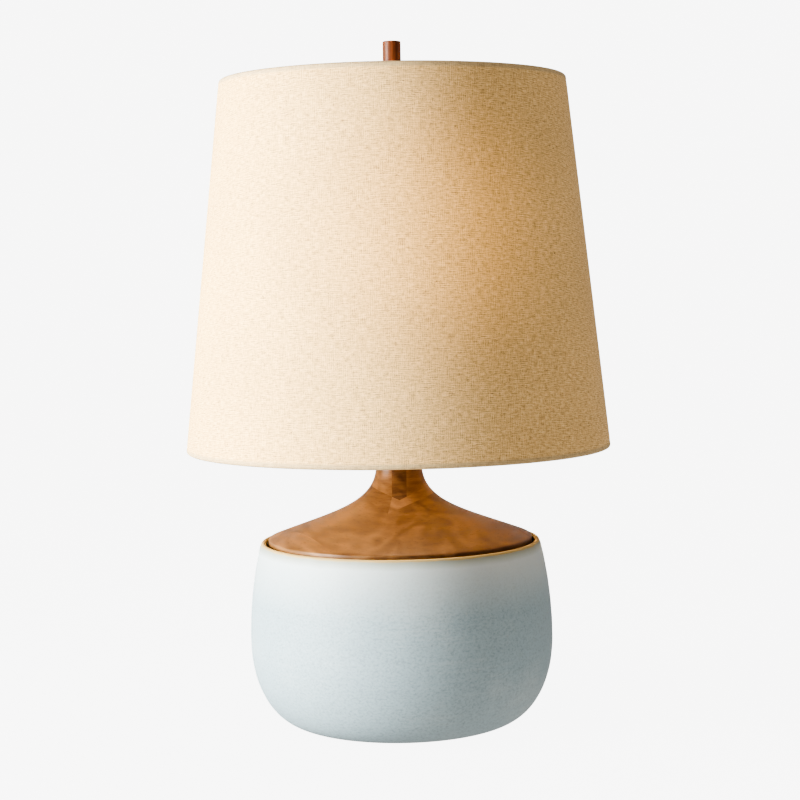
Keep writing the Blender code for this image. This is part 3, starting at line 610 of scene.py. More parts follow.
def wood():
    """A cap turned from a glued blank: wide boards below, smaller blocks above, staves in the neck."""
    paint = Paint("wood")
    number, shade = blank_strips(paint)
    chance = paint.add("ShaderNodeTexWhiteNoise", {"W": number}, noise_dimensions="1D")
    shift = paint.add(
        "ShaderNodeVectorMath", {0: chance.outputs["Color"], 1: (0.3, 0.3, 0.3)}, operation="MULTIPLY"
    ).outputs[0]
    own = paint.add("ShaderNodeVectorMath", {0: paint.place, 1: shift}, operation="ADD").outputs[0]
    swirl = paint.noise(paint.stretched((14, 8, 22), own, (0, 0.35, 0.4)), 1.0, 2, 0.5, 0.8)
    rings = paint.math("SINE", paint.math("MULTIPLY", swirl, 34))
    streaks = paint.noise(paint.stretched((60, 26, 320), own, (0, 0.35, 0.4)), 1.0, 3, 0.6)
    pores = paint.noise(paint.stretched((300, 120, 1500), own), 1.0, 2)
    figure = paint.math("MULTIPLY_ADD", rings, 0.075, paint.math("MULTIPLY_ADD", streaks, 0.5, 0.25))
    tone = paint.math("MULTIPLY_ADD", shade, 0.28, paint.math("SUBTRACT", figure, 0.14))
    colour = paint.ramp(tone, [(0.22, WOOD_DARK), (0.50, WOOD_MIDDLE), (0.78, WOOD_PALE)])
    dots = paint.ramp(pores, [(0.28, 0.75), (0.40, 1.0)])
    colour = paint.mix(1.0, colour, dots, "MULTIPLY")
    paint.set(Base_Color=colour, Roughness=paint.ramp(streaks, [(0.3, 0.36), (0.7, 0.48)]))
    paint.set(Coat_Weight=0.05, Coat_Roughness=0.35, Specular_IOR_Level=0.24)
    paint.set(Normal=paint.bump(pores, 0.06 * MM, 0.3))
    return paint.material


def walnut():
    """A rod of straight-grained dark wood under a smooth lacquer."""
    paint = Paint("walnut")
    long_grain = paint.noise(paint.stretched((420, 420, 14)), 1.0, 3, 0.6)
    rings = paint.noise(paint.stretched((900, 900, 20)), 1.0, 2)
    tone = paint.math("MULTIPLY_ADD", rings, 0.4, paint.math("MULTIPLY", long_grain, 0.6))
    colour = paint.ramp(tone, [(0.32, WALNUT_DARK), (0.68, WALNUT_PALE)])
    paint.set(Base_Color=colour, Roughness=0.46, Specular_IOR_Level=0.32)
    paint.set(Coat_Weight=0.03, Coat_Roughness=0.2)
    paint.set(Normal=paint.bump(rings, 0.05 * MM, 0.3))
    return paint.material


def felt():
    """Dense dark fibres."""
    paint = Paint("felt")
    fibres = paint.noise(paint.stretched((700, 700, 700)), 1.0, 4, 0.7, 1.5)
    colour = paint.ramp(fibres, [(0.3, (0.015, 0.013, 0.012)), (0.7, (0.07, 0.06, 0.055))])
    paint.set(Base_Color=colour, Roughness=0.97, Sheen_Weight=0.3, Specular_IOR_Level=0.1)
    paint.set(Normal=paint.bump(fibres, 0.5 * MM, 0.8))
    return paint.material


def metal(name, pale, dark, roughness, lines_per_metre):
    """Plated or brushed metal, with drawn lines round its axis and a little tarnish."""
    paint = Paint(name)
    lines = paint.noise(paint.stretched((40, 40, lines_per_metre)), 1.0, 3, 0.6)
    tarnish = paint.noise(paint.place, 120, 4, 0.6)
    colour = paint.ramp(tarnish, [(0.32, dark), (0.62, pale)])
    paint.set(Base_Color=colour, Metallic=1.0)
    paint.set(Roughness=paint.ramp(lines, [(0.3, roughness * 0.75), (0.7, roughness * 1.35)]))
    paint.set(Normal=paint.bump(lines, 0.02 * MM, 0.35))
    return paint.material


def moulded(name, pale, dark, roughness, grain, coat):
    """A moulded, painted or pressed surface: a faint mottle and a fine grain."""
    paint = Paint(name)
    mottle = paint.noise(paint.place, 150, 3)
    fine = paint.noise(paint.place, 1600, 2)
    colour = paint.ramp(mottle, [(0.3, dark), (0.7, pale)])
    paint.set(Base_Color=colour, Coat_Weight=coat, Coat_Roughness=0.2)
    paint.set(Roughness=paint.ramp(fine, [(0.3, roughness * 0.85), (0.7, roughness * 1.15)]))
    paint.set(Normal=paint.bump(fine, grain, 0.5))
    return paint.material


def frosted_glass():
    """The bulb: etched glass that glows with the lamp switched on."""
    paint = Paint("frosted_glass")
    frost = paint.noise(paint.place, 1400, 2)
    colour = paint.ramp(frost, [(0.3, (0.88, 0.86, 0.80)), (0.7, (0.94, 0.92, 0.88))])
    paint.set(Base_Color=colour, Roughness=paint.ramp(frost, [(0.3, 0.3), (0.7, 0.42)]))
    paint.set(Emission_Color=(1.0, 0.72, 0.46), Emission_Strength=30.0)
    return paint.material


def finishes():
    """Every material, by the name of its slot."""
    makers = (linen, styrene, stoneware, wood, walnut, felt, frosted_glass)
    made = {make.__name__: make() for make in makers}
    made.update({name: metal(name, *look) for name, look in METALS.items()})
    made.update({name: moulded(name, *look) for name, look in MOULDINGS.items()})
    return made


FINISHES = finishes()


def paint_cad_nodes():
    """Gives the nodes that stay in sight their real materials."""
    for entry in frame["record"]["subparts"]:
        node = frame["nodes"][entry["node"]]
        node.data.materials.clear()
        node.data.materials.append(FINISHES[entry["material_slot"]])


# ---------------------------------------------------------------- base


def belly_curve(foot_z, inset, steps):
    """The rounded lower corner of the bowl, from its foot up to its widest point."""
    found = []
    for i in range(steps + 1):
        angle = math.pi / 2 * i / steps
        across = math.sin(angle) ** (2 / BELLY_SQUARENESS)
        drop = math.cos(angle) ** (2 / BELLY_SQUARENESS)
        radius = FOOT_RADIUS + (BELLY_RADIUS - inset - FOOT_RADIUS) * across
        found.append((radius, BELLY_Z - (BELLY_Z - foot_z) * drop))
    return found


def shoulder_radius(z, inset=0.0):
    """The bowl's radius above its widest point, on one long arc that passes through the rim."""
    rise = RIM_Z - BELLY_Z
    narrowing = BELLY_RADIUS - RIM_OUTER_RADIUS
    sweep = (rise**2 + narrowing**2) / (2 * narrowing)
    return BELLY_RADIUS - inset - sweep + math.sqrt(sweep**2 - (z - BELLY_Z) ** 2)


def shoulder_curve(top_z, inset, steps):
    """Points (r, z) up the long arc, from just above the widest point."""
    heights = [BELLY_Z + (top_z - BELLY_Z) * i / steps for i in range(1, steps + 1)]
    return [(shoulder_radius(z, inset), z) for z in heights]


def wall_radius(z):
    """The bowl's outer radius at a height below its widest point."""
    drop = (BELLY_Z - z) / (BELLY_Z - FOOT_Z)
    across = (1 - drop**BELLY_SQUARENESS) ** (1 / BELLY_SQUARENESS)
    return FOOT_RADIUS + (BELLY_RADIUS - FOOT_RADIUS) * across


def thrown(radius, z, angle):
    """The faint spiral that the potter's fingers leave on the outside, inwards only."""
    outside = radius > BELLY_RADIUS - 3 * WALL and FOOT_Z + MM < z < RIM_Z - 3 * MM
    if not outside:
        return radius, z
    turn = z / (3.1 * MM) + angle
    uneven = noise.noise(Vector((math.cos(angle), math.sin(angle), z * 40)))
    return radius - THROWING_RIPPLE * (0.5 + 0.3 * math.sin(turn) + 0.4 * uneven), z


def glazed_bowl():
    """The thrown bowl: round lip, ledge for the cap, hollow inside, and a hole for the inlet."""
    lip = (RIM_OUTER_RADIUS - RIM_INNER_RADIUS) / 2
    lip_centre = (RIM_INNER_RADIUS + lip, RIM_Z - lip)
    under_ledge_z = LEDGE_Z - LEDGE_THICKNESS
    taper_end_z = under_ledge_z - (shoulder_radius(under_ledge_z, WALL) - LEDGE_RADIUS)
    outside = [(RECESS_RADIUS, FOOT_Z)] + belly_curve(FOOT_Z, 0, 48)
    outside += shoulder_curve(RIM_Z - lip, 0, 44)[:-1] + arc(lip_centre, lip, 0, 180, 12)
    inside = [(RIM_INNER_RADIUS, LEDGE_Z), (LEDGE_RADIUS, LEDGE_Z), (LEDGE_RADIUS, under_ledge_z)]
    inside += reversed(shoulder_curve(taper_end_z, WALL, 8))
    inside += reversed(belly_curve(FLOOR_Z, WALL, 16))
    centre = [(PIPE_HOLE, FLOOR_Z), (PIPE_HOLE, RECESS_Z), (RECESS_RADIUS, RECESS_Z)]
    mesh = turned_mesh(outside + inside + centre, FINE, thrown)
    bowl = piece("glazed_bowl", mesh, "stoneware", "base", "ceramic_body")
    hole = drill(INLET_BODY_RADIUS + GAP, -20 * MM, 10 * MM)
    hole.transform(inlet_place())
    cut(bowl, hole)


def inlet_place():
    """Where the inlet sits: on the bowl's back, square to the wall."""
    step = 1 * MM
    slope = math.atan2(wall_radius(INLET_Z + step) - wall_radius(INLET_Z - step), 2 * step)
    outwards = (0, math.cos(slope), -math.sin(slope))
    return facing((0, wall_radius(INLET_Z), INLET_Z), outwards)


def inlet_bush():
    """The rubber bush, rounded where the cable would rub."""
    lower = -WALL - 2.2 * MM
    outline = [
        (INLET_BORE, lower - INLET_FLANGE),
        (INLET_FLANGE_RADIUS - 1 * MM, lower - INLET_FLANGE),
        (INLET_FLANGE_RADIUS - 1 * MM, lower),
        (INLET_BODY_RADIUS, lower),
        (INLET_BODY_RADIUS, GAP),
        (INLET_FLANGE_RADIUS, GAP),
        (INLET_FLANGE_RADIUS - 0.5 * MM, INLET_FLANGE),
        (INLET_BORE + 0.6 * MM, INLET_FLANGE + 0.4 * MM),
        (INLET_BORE, INLET_FLANGE),
    ]
    mesh = turned_mesh(softened(outline, 0.7 * MM), SMALL)
    mesh.transform(inlet_place())
    piece("inlet_bush", mesh, "rubber", "base", "cord_grommet")


def felt_disc():
    """The pad that the lamp stands on, with a slightly frayed edge."""
    low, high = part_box("felt_pad")
    radius = high.x

    def frayed(at_radius, z, angle):
        if at_radius < radius - 2 * MM:
            return at_radius, z
        fray = noise.noise(Vector((math.cos(angle) * 60, math.sin(angle) * 60, z * 900)))
        return at_radius - 0.4 * MM * abs(fray), z

    outline = softened([(0, low.z), (radius, low.z), (radius, high.z), (0, high.z)], 0.5 * MM)
    piece("felt_disc", turned_mesh(outline, FINE, frayed), "felt", "base", "felt_pad")


def turned_cap():
    """The wooden cap, hollow below, that flares from its neck down to the edge inside the rim."""
    edge = (CAP_HIGH.x, CAP_EDGE_TOP_Z)
    neck = (CAP_NECK_RADIUS, CAP_NECK_Z)
    flare = bezier(
        edge,
        (edge[0] - CAP_EDGE_HANDLE, edge[1] + CAP_SLOPE * CAP_EDGE_HANDLE),
        (neck[0], neck[1] - CAP_NECK_HANDLE),
        neck,
        72,
    )
    bottom = CAP_LOW.z
    rebate = edge[0] - CAP_REBATE
    underside = [
        (PIPE_HOLE, CAP_HOLLOW_Z),
        (CAP_HOLLOW_RADIUS, CAP_HOLLOW_Z),
        (rebate, bottom + CAP_REBATE_DEPTH),
        (rebate, bottom),
    ]
    rim_centre = (edge[0] - CAP_EDGE_ROUND, bottom + CAP_EDGE_ROUND)
    rim = arc(rim_centre, CAP_EDGE_ROUND, -90, 0, 4)
    shoulder = bezier(
        (edge[0], edge[1] - 1.1 * MM),
        (edge[0], edge[1] - 0.3 * MM),
        (edge[0] - 0.4 * MM, edge[1] + 0.1 * MM),
        flare[1],
        6,
    )
    top_centre = (CAP_NECK_RADIUS - CAP_TOP_ROUND, CAP_HIGH.z - CAP_TOP_ROUND)
    top = arc(top_centre, CAP_TOP_ROUND, 0, 90, 6)
    outline = underside + rim + shoulder + flare[2:] + top + [(PIPE_HOLE, CAP_HIGH.z)]
    piece("turned_cap", turned_mesh(outline, FINE), "wood", "base", "wood_cap")


def neck_stack():
    """The brass collar on the neck, and the nut that clamps the saddle."""
    low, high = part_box("neck_collar")
    radius = high.x
    outline = [
        (PIPE_HOLE, low.z),
        (radius, low.z),
        (radius, low.z + 1.5 * MM),
        (12 * MM, low.z + 4 * MM),
        (10.5 * MM, high.z),
        (PIPE_HOLE, high.z),
    ]
    collar = turned_mesh(softened(outline, 0.6 * MM), SMOOTH)
    piece("brass_collar", collar, "brass", "base", "neck_collar")
    low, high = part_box("neck_lock_nut")
    hexagon = prism_mesh(ellipse(high.x, high.x, 6), low.z, high.z, 0.4 * MM)
    nut = piece("neck_nut", hexagon, "steel", "base", "neck_lock_nut")
    cut(nut, drill(PIPE_HOLE, low.z - MM, high.z + MM))


# ---------------------------------------------------------------- harp


def harp_side(sign):
    """Points up one side of the harp, from its foot to just beside the lug."""
    foot = (sign * LEG_X, 0, LEG_FOOT_Z)
    straight = (sign * LEG_X, 0, LEG_STRAIGHT_Z)
    widest = (sign * HARP_HALF_WIDTH, 0, HARP_WIDEST_Z)
    top = (sign * 5 * MM, 0, LUG_Z)
    rise = HARP_WIDEST_Z - LEG_STRAIGHT_Z
    flare = bezier(
        straight,
        (straight[0], 0, straight[2] + 0.45 * rise),
        (widest[0], 0, widest[2] - 0.55 * rise),
        widest,
        24,
    )
    bow = bezier(
        widest,
        (widest[0], 0, widest[2] + 78 * MM),
        (sign * 42 * MM, 0, LUG_Z),
        top,
        40,
    )
    return [foot] + flare + bow[1:]


def harp_bow():
    """The sprung wire, pressed flat at its top where the eye is."""
    low = LUG_Z - LUG_THICKNESS / 2
    high = LUG_Z + LUG_THICKNESS / 2
    past = 4 * MM
    half_length = EYE_LENGTH / 2
    half_width = EYE_WIDTH / 2
    sides = [tube_mesh(harp_side(sign), WIRE_RADIUS, 8) for sign in (-1, 1)]
    bow = piece("harp_bow", joined(sides), "nickel", "harp", "harp_loop")
    eye = prism_mesh(ellipse(half_length, half_width, 48), low, high, 0.35 * MM)
    lug = piece("harp_eye", eye, "nickel", "harp")
    cut(lug, drill(LUG_HOLE, low - past, high + past))
    x = half_length + MM
    y = half_width + MM
    press = [(-x, -y), (x, -y), (x, y), (-x, y)]
    cut(bow, prism_mesh(press, high, high + 3 * WIRE_RADIUS))
    cut(bow, prism_mesh(press, low - 3 * WIRE_RADIUS, low))
    cut(bow, drill(LUG_HOLE, low - past, high + past))


def ferrule_sleeves():
    """The sleeves that lock the harp's legs onto the saddle's pegs."""
    for side in ("left", "right"):
        low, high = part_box(f"harp_ferrule_{side}")
        middle = (low.x + high.x) / 2
        radius = high.x - middle
        outline = softened(washer_outline(FERRULE_BORE, radius, low.z, high.z), 0.7 * MM)
        mesh = turned_mesh(outline, SMALL)
        mesh.transform(Matrix.Translation((middle, 0, 0)))
        piece(f"ferrule_{side}_sleeve", mesh, "nickel", f"ferrule_{side}", f"harp_ferrule_{side}")


def threaded_stud():
    """The swivelling stud: its head, the collar that carries the shade, and the finial's thread."""
    low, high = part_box("harp_stud")
    shank = LUG_HOLE - 0.4 * MM
    head = 4.6 * MM
    head_top = LUG_Z - LUG_THICKNESS / 2 - GAP
    collar_bottom = LUG_Z + LUG_THICKNESS / 2 + GAP
    collar_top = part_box("spider_hub")[0].z - GAP
    chamfer = 0.6 * MM
    body = [
        (0, low.z),
        (head, low.z),
        (head, head_top),
        (shank, head_top),
        (shank, collar_bottom),
        (high.x, collar_bottom),
        (high.x, collar_top),
        (0, collar_top),
    ]
    outline = softened(body, 0.4 * MM)[:-1]
    outline += climbing(STUD_RADIUS, collar_top, high.z - chamfer, STUD_PITCH / 8)
    outline += [(STUD_RADIUS - chamfer, high.z), (0, high.z)]
    thread = threaded(STUD_RADIUS, STUD_PITCH, STUD_THREAD, collar_top, high.z - chamfer)
    piece("threaded_stud", turned_mesh(outline, SMALL, thread), "brass", "stud", "harp_stud")


# ---------------------------------------------------------------- socket, switch and bulb


def knob_place():
    """The matrix that turns a piece's own Z axis along the switch, out to the front."""
    return facing((0, 0, KNOB_Z), (0, -1, 0))


def brass_shell():
    """The socket's shell, with two rolled beads, a rolled top edge and a hole for the switch."""
    bottom, top = SHELL_LOW.z, SHELL_HIGH.z
    outline = [(SHELL_RADIUS - SHEET, bottom), (SHELL_RADIUS, bottom)]
    for bead_z in (bottom + 12 * MM, top - 5 * MM):
        outline += arc((SHELL_RADIUS - 0.5 * MM, bead_z), 1.1 * MM, -60, 60, 8)
    outline += arc((SHELL_RADIUS - SHEET / 2, top - SHEET / 2), SHEET / 2, 0, 180, 6)
    shell = piece("brass_shell", turned_mesh(outline, SMOOTH), "brass", "base", "socket_shell")
    hole = drill(3 * MM, 12 * MM, 20 * MM)
    hole.transform(knob_place())
    cut(shell, hole)


def switch_grip():
    """The turn knob, fluted all round and domed at its end."""
    low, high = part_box("switch_knob")
    near, far = -high.y, -low.y

    def fluted(radius, z, angle):
        if radius < KNOB_RADIUS - 2 * MM:
            return radius, z
        return radius - KNOB_RIB_DEPTH * (0.5 - 0.5 * math.cos(KNOB_RIBS * angle)), z

    profile = [(0, near), (KNOB_RADIUS, near), (KNOB_RADIUS, far - 0.8 * MM), (0, far)]
    mesh = turned_mesh(softened(profile, 0.8 * MM, 5), KNOB_RIBS * 12, fluted)
    mesh.transform(knob_place())
    grip = piece("switch_grip", mesh, "phenolic", "switch", "switch_knob")
    shaft_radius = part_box("switch_shaft")[1].x + GAP
    bore = drill(shaft_radius, near - MM, far - 4.6 * MM)
    bore.transform(knob_place())
    cut(grip, bore)


def bulb_outline(inset):
    """The bulb's pear outline (r, z), from its neck up to its crown."""
    neck = (11.8 * MM - inset, BULB_TIP_Z + 22 * MM)
    waist = (12.6 * MM - inset, BULB_TIP_Z + 32 * MM)
    crown = arc((0, BULB_CENTRE_Z), BULB_RADIUS - inset, -20, 90, 36)
    flank = bezier(
        waist,
        (waist[0] + 1.5 * MM, waist[1] + 14 * MM),
        (crown[0][0] - 6 * MM, crown[0][1] - 14 * MM),
        crown[0],
        24,
    )
    return [neck] + flank + crown[1:]


def lit_bulb():
    """The glass, open at its neck."""
    glass = bulb_outline(0) + list(reversed(bulb_outline(GLASS)))
    piece("lit_bulb", turned_mesh(glass, SMOOTH), "frosted_glass", "bulb", "bulb_glass")


def screw_cap():
    """The bulb's metal cap, with its rolled thread."""
    low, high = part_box("bulb_screw_base")
    crest = high.x
    skin = 0.6 * MM
    shoulder_z = low.z + 3 * MM
    thread_top = BULB_TIP_Z + 21.5 * MM
    outside = climbing(crest, shoulder_z, thread_top, BULB_PITCH / 12)
    inside = [(radius - skin, z) for radius, z in reversed(outside)]
    lower = [(10.2 * MM, low.z + 0.8 * MM), (10.2 * MM, low.z)]
    outline = lower + outside + [(crest, high.z), (crest - skin, high.z)] + inside
    thread = threaded(crest, BULB_PITCH, BULB_THREAD, shoulder_z, thread_top)
    piece("screw_cap", turned_mesh(outline, SMOOTH, thread), "nickel", "bulb", "bulb_screw_base")


# ---------------------------------------------------------------- shade


def shade_radius(z):
    """The outer radius of the shade at a height."""
    along = (z - SHADE_LOW.z) / SHADE_HEIGHT
    return SHADE_BOTTOM_RADIUS + (SHADE_TOP_RADIUS - SHADE_BOTTOM_RADIUS) * along


def hem_path():
    """(inwards, depth) of the cloth's middle from the wall, round the ring and down the inside."""
    skin = FABRIC / 2
    around = RING_WIRE + skin + 0.1 * MM
    corner = 2.1 * MM
    path = [
        (skin, 14 * MM),
        (skin, 9 * MM),
        (skin + HEM_GROOVE / 2, HEM_GROOVE_DEPTH + 1 * MM),
        (skin + HEM_GROOVE, HEM_GROOVE_DEPTH),
        (skin + HEM_GROOVE / 3, HEM_GROOVE_DEPTH - 0.8 * MM),
        (skin, 3.4 * MM),
    ]
    path += arc((skin + corner, skin + corner), corner, 180, 270, 6)
    path += arc((RING_INSET, RING_DEPTH), around, 270, 360, 8)[1:]
    return path


def hem_tuck(start):
    """(inwards, depth) of the turned-in cloth, from the ring's inner side to its glued end."""
    against = LINER_OUTSIDE + LINER + GAP + FABRIC / 2
    return bezier(
        start,
        (start[0], start[1] + 2 * MM),
        (against, HEM_DEPTH - 4.5 * MM),
        (against, HEM_DEPTH),
        10,
    )


def notched(angle):
    """How much of the turned-in cloth is left at an angle: little beside the spider's arms."""
    least = 1.0
    for i in range(ARMS):
        arm = math.pi / 2 + 2 * math.pi * i / ARMS
        apart = abs((angle - arm + math.pi) % (2 * math.pi) - math.pi) * SHADE_TOP_RADIUS
        open_share = min(max((apart - NOTCH_HALF_WIDTH) / (3 * MM), 0.12), 1.0)
        least = min(least, open_share)
    return least


def shade_profile(angle):
    """The cloth's middle line (r, z) at one angle, from its lower glued end to its upper one."""
    rim = hem_path()
    tuck = hem_tuck(rim[-1])
    lower = [(SHADE_LOW, 1, point) for point in reversed(rim + tuck[1:])]
    share = notched(angle)
    kept = [point_along(tuck, share * i / (len(tuck) - 1)) for i in range(1, len(tuck))]
    upper = [(SHADE_HIGH, -1, point) for point in rim + kept]
    found = []
    for edge, sign, (inwards, depth) in lower + upper:
        z = edge.z + sign * depth
        found.append((shade_radius(z) - inwards, z))
    split = len(lower)
    wall_steps = 24
    start, end = found[split - 1], found[split]
    wall = []
    for i in range(1, wall_steps):
        t = i / wall_steps
        wall.append((start[0] + (end[0] - start[0]) * t, start[1] + (end[1] - start[1]) * t))
    return found[:split] + wall + found[split:]


def point_along(path, share):
    """The point at a share of the way along a chain of points, by their count."""
    spot = share * (len(path) - 1)
    i = min(int(spot), len(path) - 2)
    t = spot - i
    return tuple(a + (b - a) * t for a, b in zip(path[i], path[i + 1]))


def cone_spread():
    """How far the flat cut turns for each turn of the shade: the sine of the cone's half angle."""
    narrowing = SHADE_BOTTOM_RADIUS - SHADE_TOP_RADIUS
    return narrowing / math.hypot(SHADE_HEIGHT, narrowing)


def cloth_slice(shape, angle):
    """The cloth's corners at one angle, each with its place along the length of the cloth."""
    middle = shade_profile(angle)
    lengths = [0.0]
    for near, far in zip(middle, middle[1:]):
        lengths.append(lengths[-1] + math.dist(near, far))
    lengths += lengths[::-1]
    corners = []
    for (radius, z), length in zip(thickened(middle, FABRIC), lengths):
        spot = shape.verts.new((radius * math.cos(angle), radius * math.sin(angle), z))
        corners.append((spot, length))
    return corners


def linen_shade():
    """The cloth as a closed thin mesh, with the place of each point on the flat cut as its UV."""
    sides = 2 * FINE
    step = 2 * math.pi / sides
    spread = cone_spread()
    lowest = SHADE_BOTTOM_RADIUS / spread
    shape = bmesh.new()
    cloth = shape.loops.layers.uv.new("cloth")
    slices = [cloth_slice(shape, step * i - math.pi * 1.5) for i in range(sides)]
    for i in range(sides):
        here, after = slices[i - 1], slices[i]
        turn = step * ((i - 1) % sides) - math.pi
        for k in range(len(here)):
            corners = (here[k - 1], after[k - 1], after[k], here[k])
            face = shape.faces.new([spot for spot, _ in corners])
            for loop, (_, length), further in zip(face.loops, corners, (0, step, step, 0)):
                at = (turn + further) * spread
                reach = lowest - length
                loop[cloth].uv = (reach * math.sin(at), lowest - reach * math.cos(at))
    return piece("linen_shade", mesh_of(shape), "linen", "shade", "shade_fabric")


def back_seam():
    """The glued overlap down the back of the shade, a strip that stands a little proud."""
    shape = bmesh.new()
    cloth = shape.loops.layers.uv.new("cloth")
    stations = 40
    rows = []
    for i in range(stations + 1):
        z = SHADE_LOW.z + 0.8 * MM + (SHADE_HEIGHT - 1.6 * MM) * i / stations
        radius = shade_radius(z)
        section = []
        for across in (-1.0, -0.94, -0.5, 0.0, 0.5, 0.94, 1.0):
            proud = SEAM_THICKNESS if abs(across) < 0.95 else 0.05 * MM
            angle = math.pi / 2 + across * SEAM_WIDTH / 2 / radius
            section.append((radius + proud, angle))
        section += [(radius - 0.2 * MM, angle) for _, angle in reversed(section)]
        rows.append([shape.verts.new((r * math.cos(a), r * math.sin(a), z)) for r, a in section])
    for near, far in zip(rows, rows[1:]):
        for k in range(len(near)):
            shape.faces.new((near[k - 1], near[k], far[k], far[k - 1]))
    shape.faces.new(rows[0])
    shape.faces.new(rows[-1])
    for face in shape.faces:
        for corner in face.loops:
            corner[cloth].uv = (corner.vert.co.x + 0.5, corner.vert.co.z)
    return piece("shade_seam", mesh_of(shape), "linen", "shade")


def styrene_liner():
    """The thin sheet that the linen is glued to."""
    bottom = SHADE_LOW.z + LINER_OUTSIDE
    top = SHADE_HIGH.z - LINER_OUTSIDE
    outside = [(shade_radius(z) - LINER_OUTSIDE, z) for z in (bottom, top)]
    inside = [(shade_radius(z) - LINER_OUTSIDE - LINER, z) for z in (top, bottom)]
    piece("styrene_liner", turned_mesh(outside + inside, FINE), "styrene", "shade", "shade_liner")


def spider():
    """The washer that sits on the stud, and the wire arms that run from it to the top ring."""
    low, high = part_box("spider_hub")
    hub = softened(washer_outline(HUB_BORE, high.x, low.z, high.z), 0.6 * MM)
    piece("hub_washer", turned_mesh(hub, SMALL), "white_wire", "shade", "spider_hub")
    arm_z = low.z + ARM_RADIUS
    end = shade_radius(SHADE_HIGH.z - RING_DEPTH) - RING_INSET
    end_z = SHADE_HIGH.z - RING_DEPTH - RING_WIRE - ARM_RADIUS - GAP
    bend = end - 30 * MM
    side = [(high.x - 1.5 * MM, 0, arm_z)]
    side += bezier(
        (bend, 0, arm_z),
        (bend + 12 * MM, 0, arm_z),
        (end - 14 * MM, 0, end_z),
        (end, 0, end_z),
        24,
    )
    for i in range(ARMS):
        mesh = tube_mesh(side, ARM_RADIUS)
        mesh.transform(Matrix.Rotation(math.pi / 2 + 2 * math.pi * i / ARMS, 4, "Z"))
        piece(f"arm_wire_{i + 1}", mesh, "white_wire", "shade", f"spider_arm_{i + 1}")


def turned_finial():
    """The wooden rod that screws onto the stud, slightly domed and eased at its edges."""
    low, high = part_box("finial_rod")
    radius = high.x
    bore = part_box("finial_insert")[1].x + GAP
    bore_top = low.z + 17 * MM
    rod = [
        (bore, low.z),
        (radius, low.z),
        (radius, high.z - 0.2 * MM),
        (radius * 0.5, high.z),
        (0, high.z),
        (0, bore_top),
        (bore, bore_top),
    ]
    mesh = turned_mesh(softened(rod, 0.8 * MM, 5), SMOOTH)
    piece("turned_finial", mesh, "walnut", "finial", "finial_rod")


# ---------------------------------------------------------------- studio


def camera():
    """The camera, level with the shade and looking slightly down."""
    data = bpy.data.cameras.new("camera")
    data.lens = CAMERA_LENS
    seat = bpy.data.objects.new("camera", data)
    tilt = Matrix.Rotation(math.radians(90 - CAMERA_PITCH_DEG), 4, "X")
    roll = Matrix.Rotation(math.radians(-CAMERA_ROLL_DEG), 4, "Z")
    place = Matrix.Translation((CAMERA_OFFSET, -CAMERA_DISTANCE, CAMERA_HEIGHT))
    seat.matrix_world = place @ tilt @ roll
    bpy.context.collection.objects.link(seat)
    bpy.context.scene.camera = seat


def around(azimuth_deg, elevation_deg):
    """A direction away from the lamp. Azimuth 0 is the front and a negative one the left."""
    azimuth = math.radians(azimuth_deg)
    elevation = math.radians(elevation_deg)
    level = math.cos(elevation)
    return Vector((math.sin(azimuth) * level, -math.cos(azimuth) * level, math.sin(elevation)))


def softbox(name, away, distance, size, power, colour):
    """An area light that looks at the middle of the shade."""
    data = bpy.data.lights.new(name, "AREA")
    data.shape = "RECTANGLE"
    data.size, data.size_y = size
    data.energy = power
    data.color = colour
    target = Vector((0, 0, LIGHTS_LOOK_AT_Z))
    light = bpy.data.objects.new(name, data)
    light.matrix_world = facing(target + away * distance, away)
    bpy.context.collection.objects.link(light)


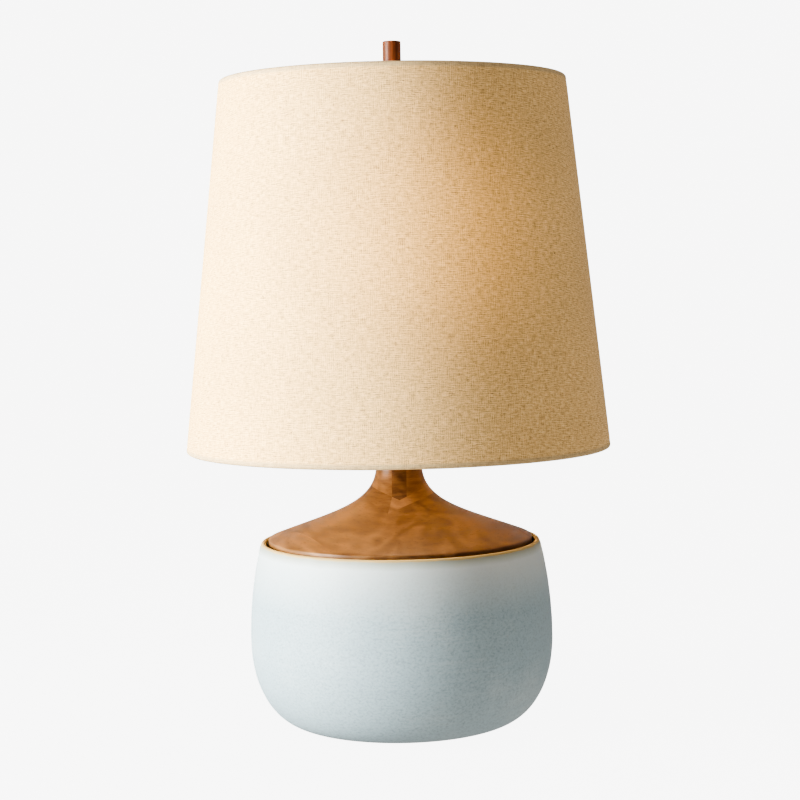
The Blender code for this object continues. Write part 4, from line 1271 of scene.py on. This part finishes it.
def glow():
    """A weak, soft-edged warm spot on the front of the shade, round the height of the bulb."""
    data = bpy.data.lights.new("glow", "SPOT")
    data.energy = 38
    data.color = (1.0, 0.62, 0.18)
    data.spot_size = math.radians(10)
    data.spot_blend = 1.0
    data.shadow_soft_size = 0.05
    light = bpy.data.objects.new("glow", data)
    away = around(5, 2)
    target = Vector((0, 0, BULB_CENTRE_Z + GLOW_ABOVE_BULB))
    light.matrix_world = facing(target + away * GLOW_DISTANCE, away)
    bpy.context.collection.objects.link(light)


def backdrop():
    """A pale floor that sweeps up into a wall all round. It is only seen, and lights nothing."""
    radius = 5.0
    height = 6.01
    bend = 2.0
    thickness = 0.05
    outline = [(0, 0)] + arc((radius - bend, bend), bend, -90, 0, 24) + [(radius, height)]
    outline += [(radius + thickness, height), (radius + thickness, -thickness), (0, -thickness)]
    mesh = turned_mesh(outline, SMOOTH)
    paint = Paint("backdrop")
    white = paint.ramp(paint.noise(paint.place, 2.0, 1), [(0.0, 0.99), (1.0, 1.0)])
    paint.set(Base_Color=(0.05, 0.05, 0.05), Roughness=1.0, Specular_IOR_Level=0.0)
    paint.set(Emission_Color=white, Emission_Strength=2.0)
    mesh.materials.append(paint.material)
    mesh.shade_smooth()
    floor = bpy.data.objects.new("studio_floor", mesh)
    floor.visible_diffuse = False
    floor.visible_glossy = False
    floor.visible_transmission = False
    floor.visible_shadow = False
    bpy.context.collection.objects.link(floor)


def studio():
    """The surround, the lights, the backdrop and the camera."""
    world = bpy.data.worlds.new("studio")
    world.use_nodes = True
    surround = world.node_tree.nodes["Background"]
    surround.inputs["Color"].default_value = (1.0, 0.96, 0.93, 1)
    surround.inputs["Strength"].default_value = 0.5
    bpy.context.scene.world = world
    view = bpy.context.scene.view_settings
    view.view_transform = "AgX"
    view.look = "AgX - Very High Contrast"
    softbox("key", around(-67, 3), distance=1.45, size=(0.8, 0.9), power=68, colour=(0.98, 1.0, 1.0))
    softbox("bounce", around(35, -55), distance=0.8, size=(1.0, 0.8), power=1, colour=(1.0, 0.93, 0.86))
    glow()
    backdrop()
    camera()


paint_cad_nodes()
glazed_bowl()
inlet_bush()
felt_disc()
turned_cap()
neck_stack()
harp_bow()
ferrule_sleeves()
threaded_stud()
brass_shell()
switch_grip()
lit_bulb()
screw_cap()
shade_piece = linen_shade()
seam = back_seam()
styrene_liner()
spider()
turned_finial()
studio()
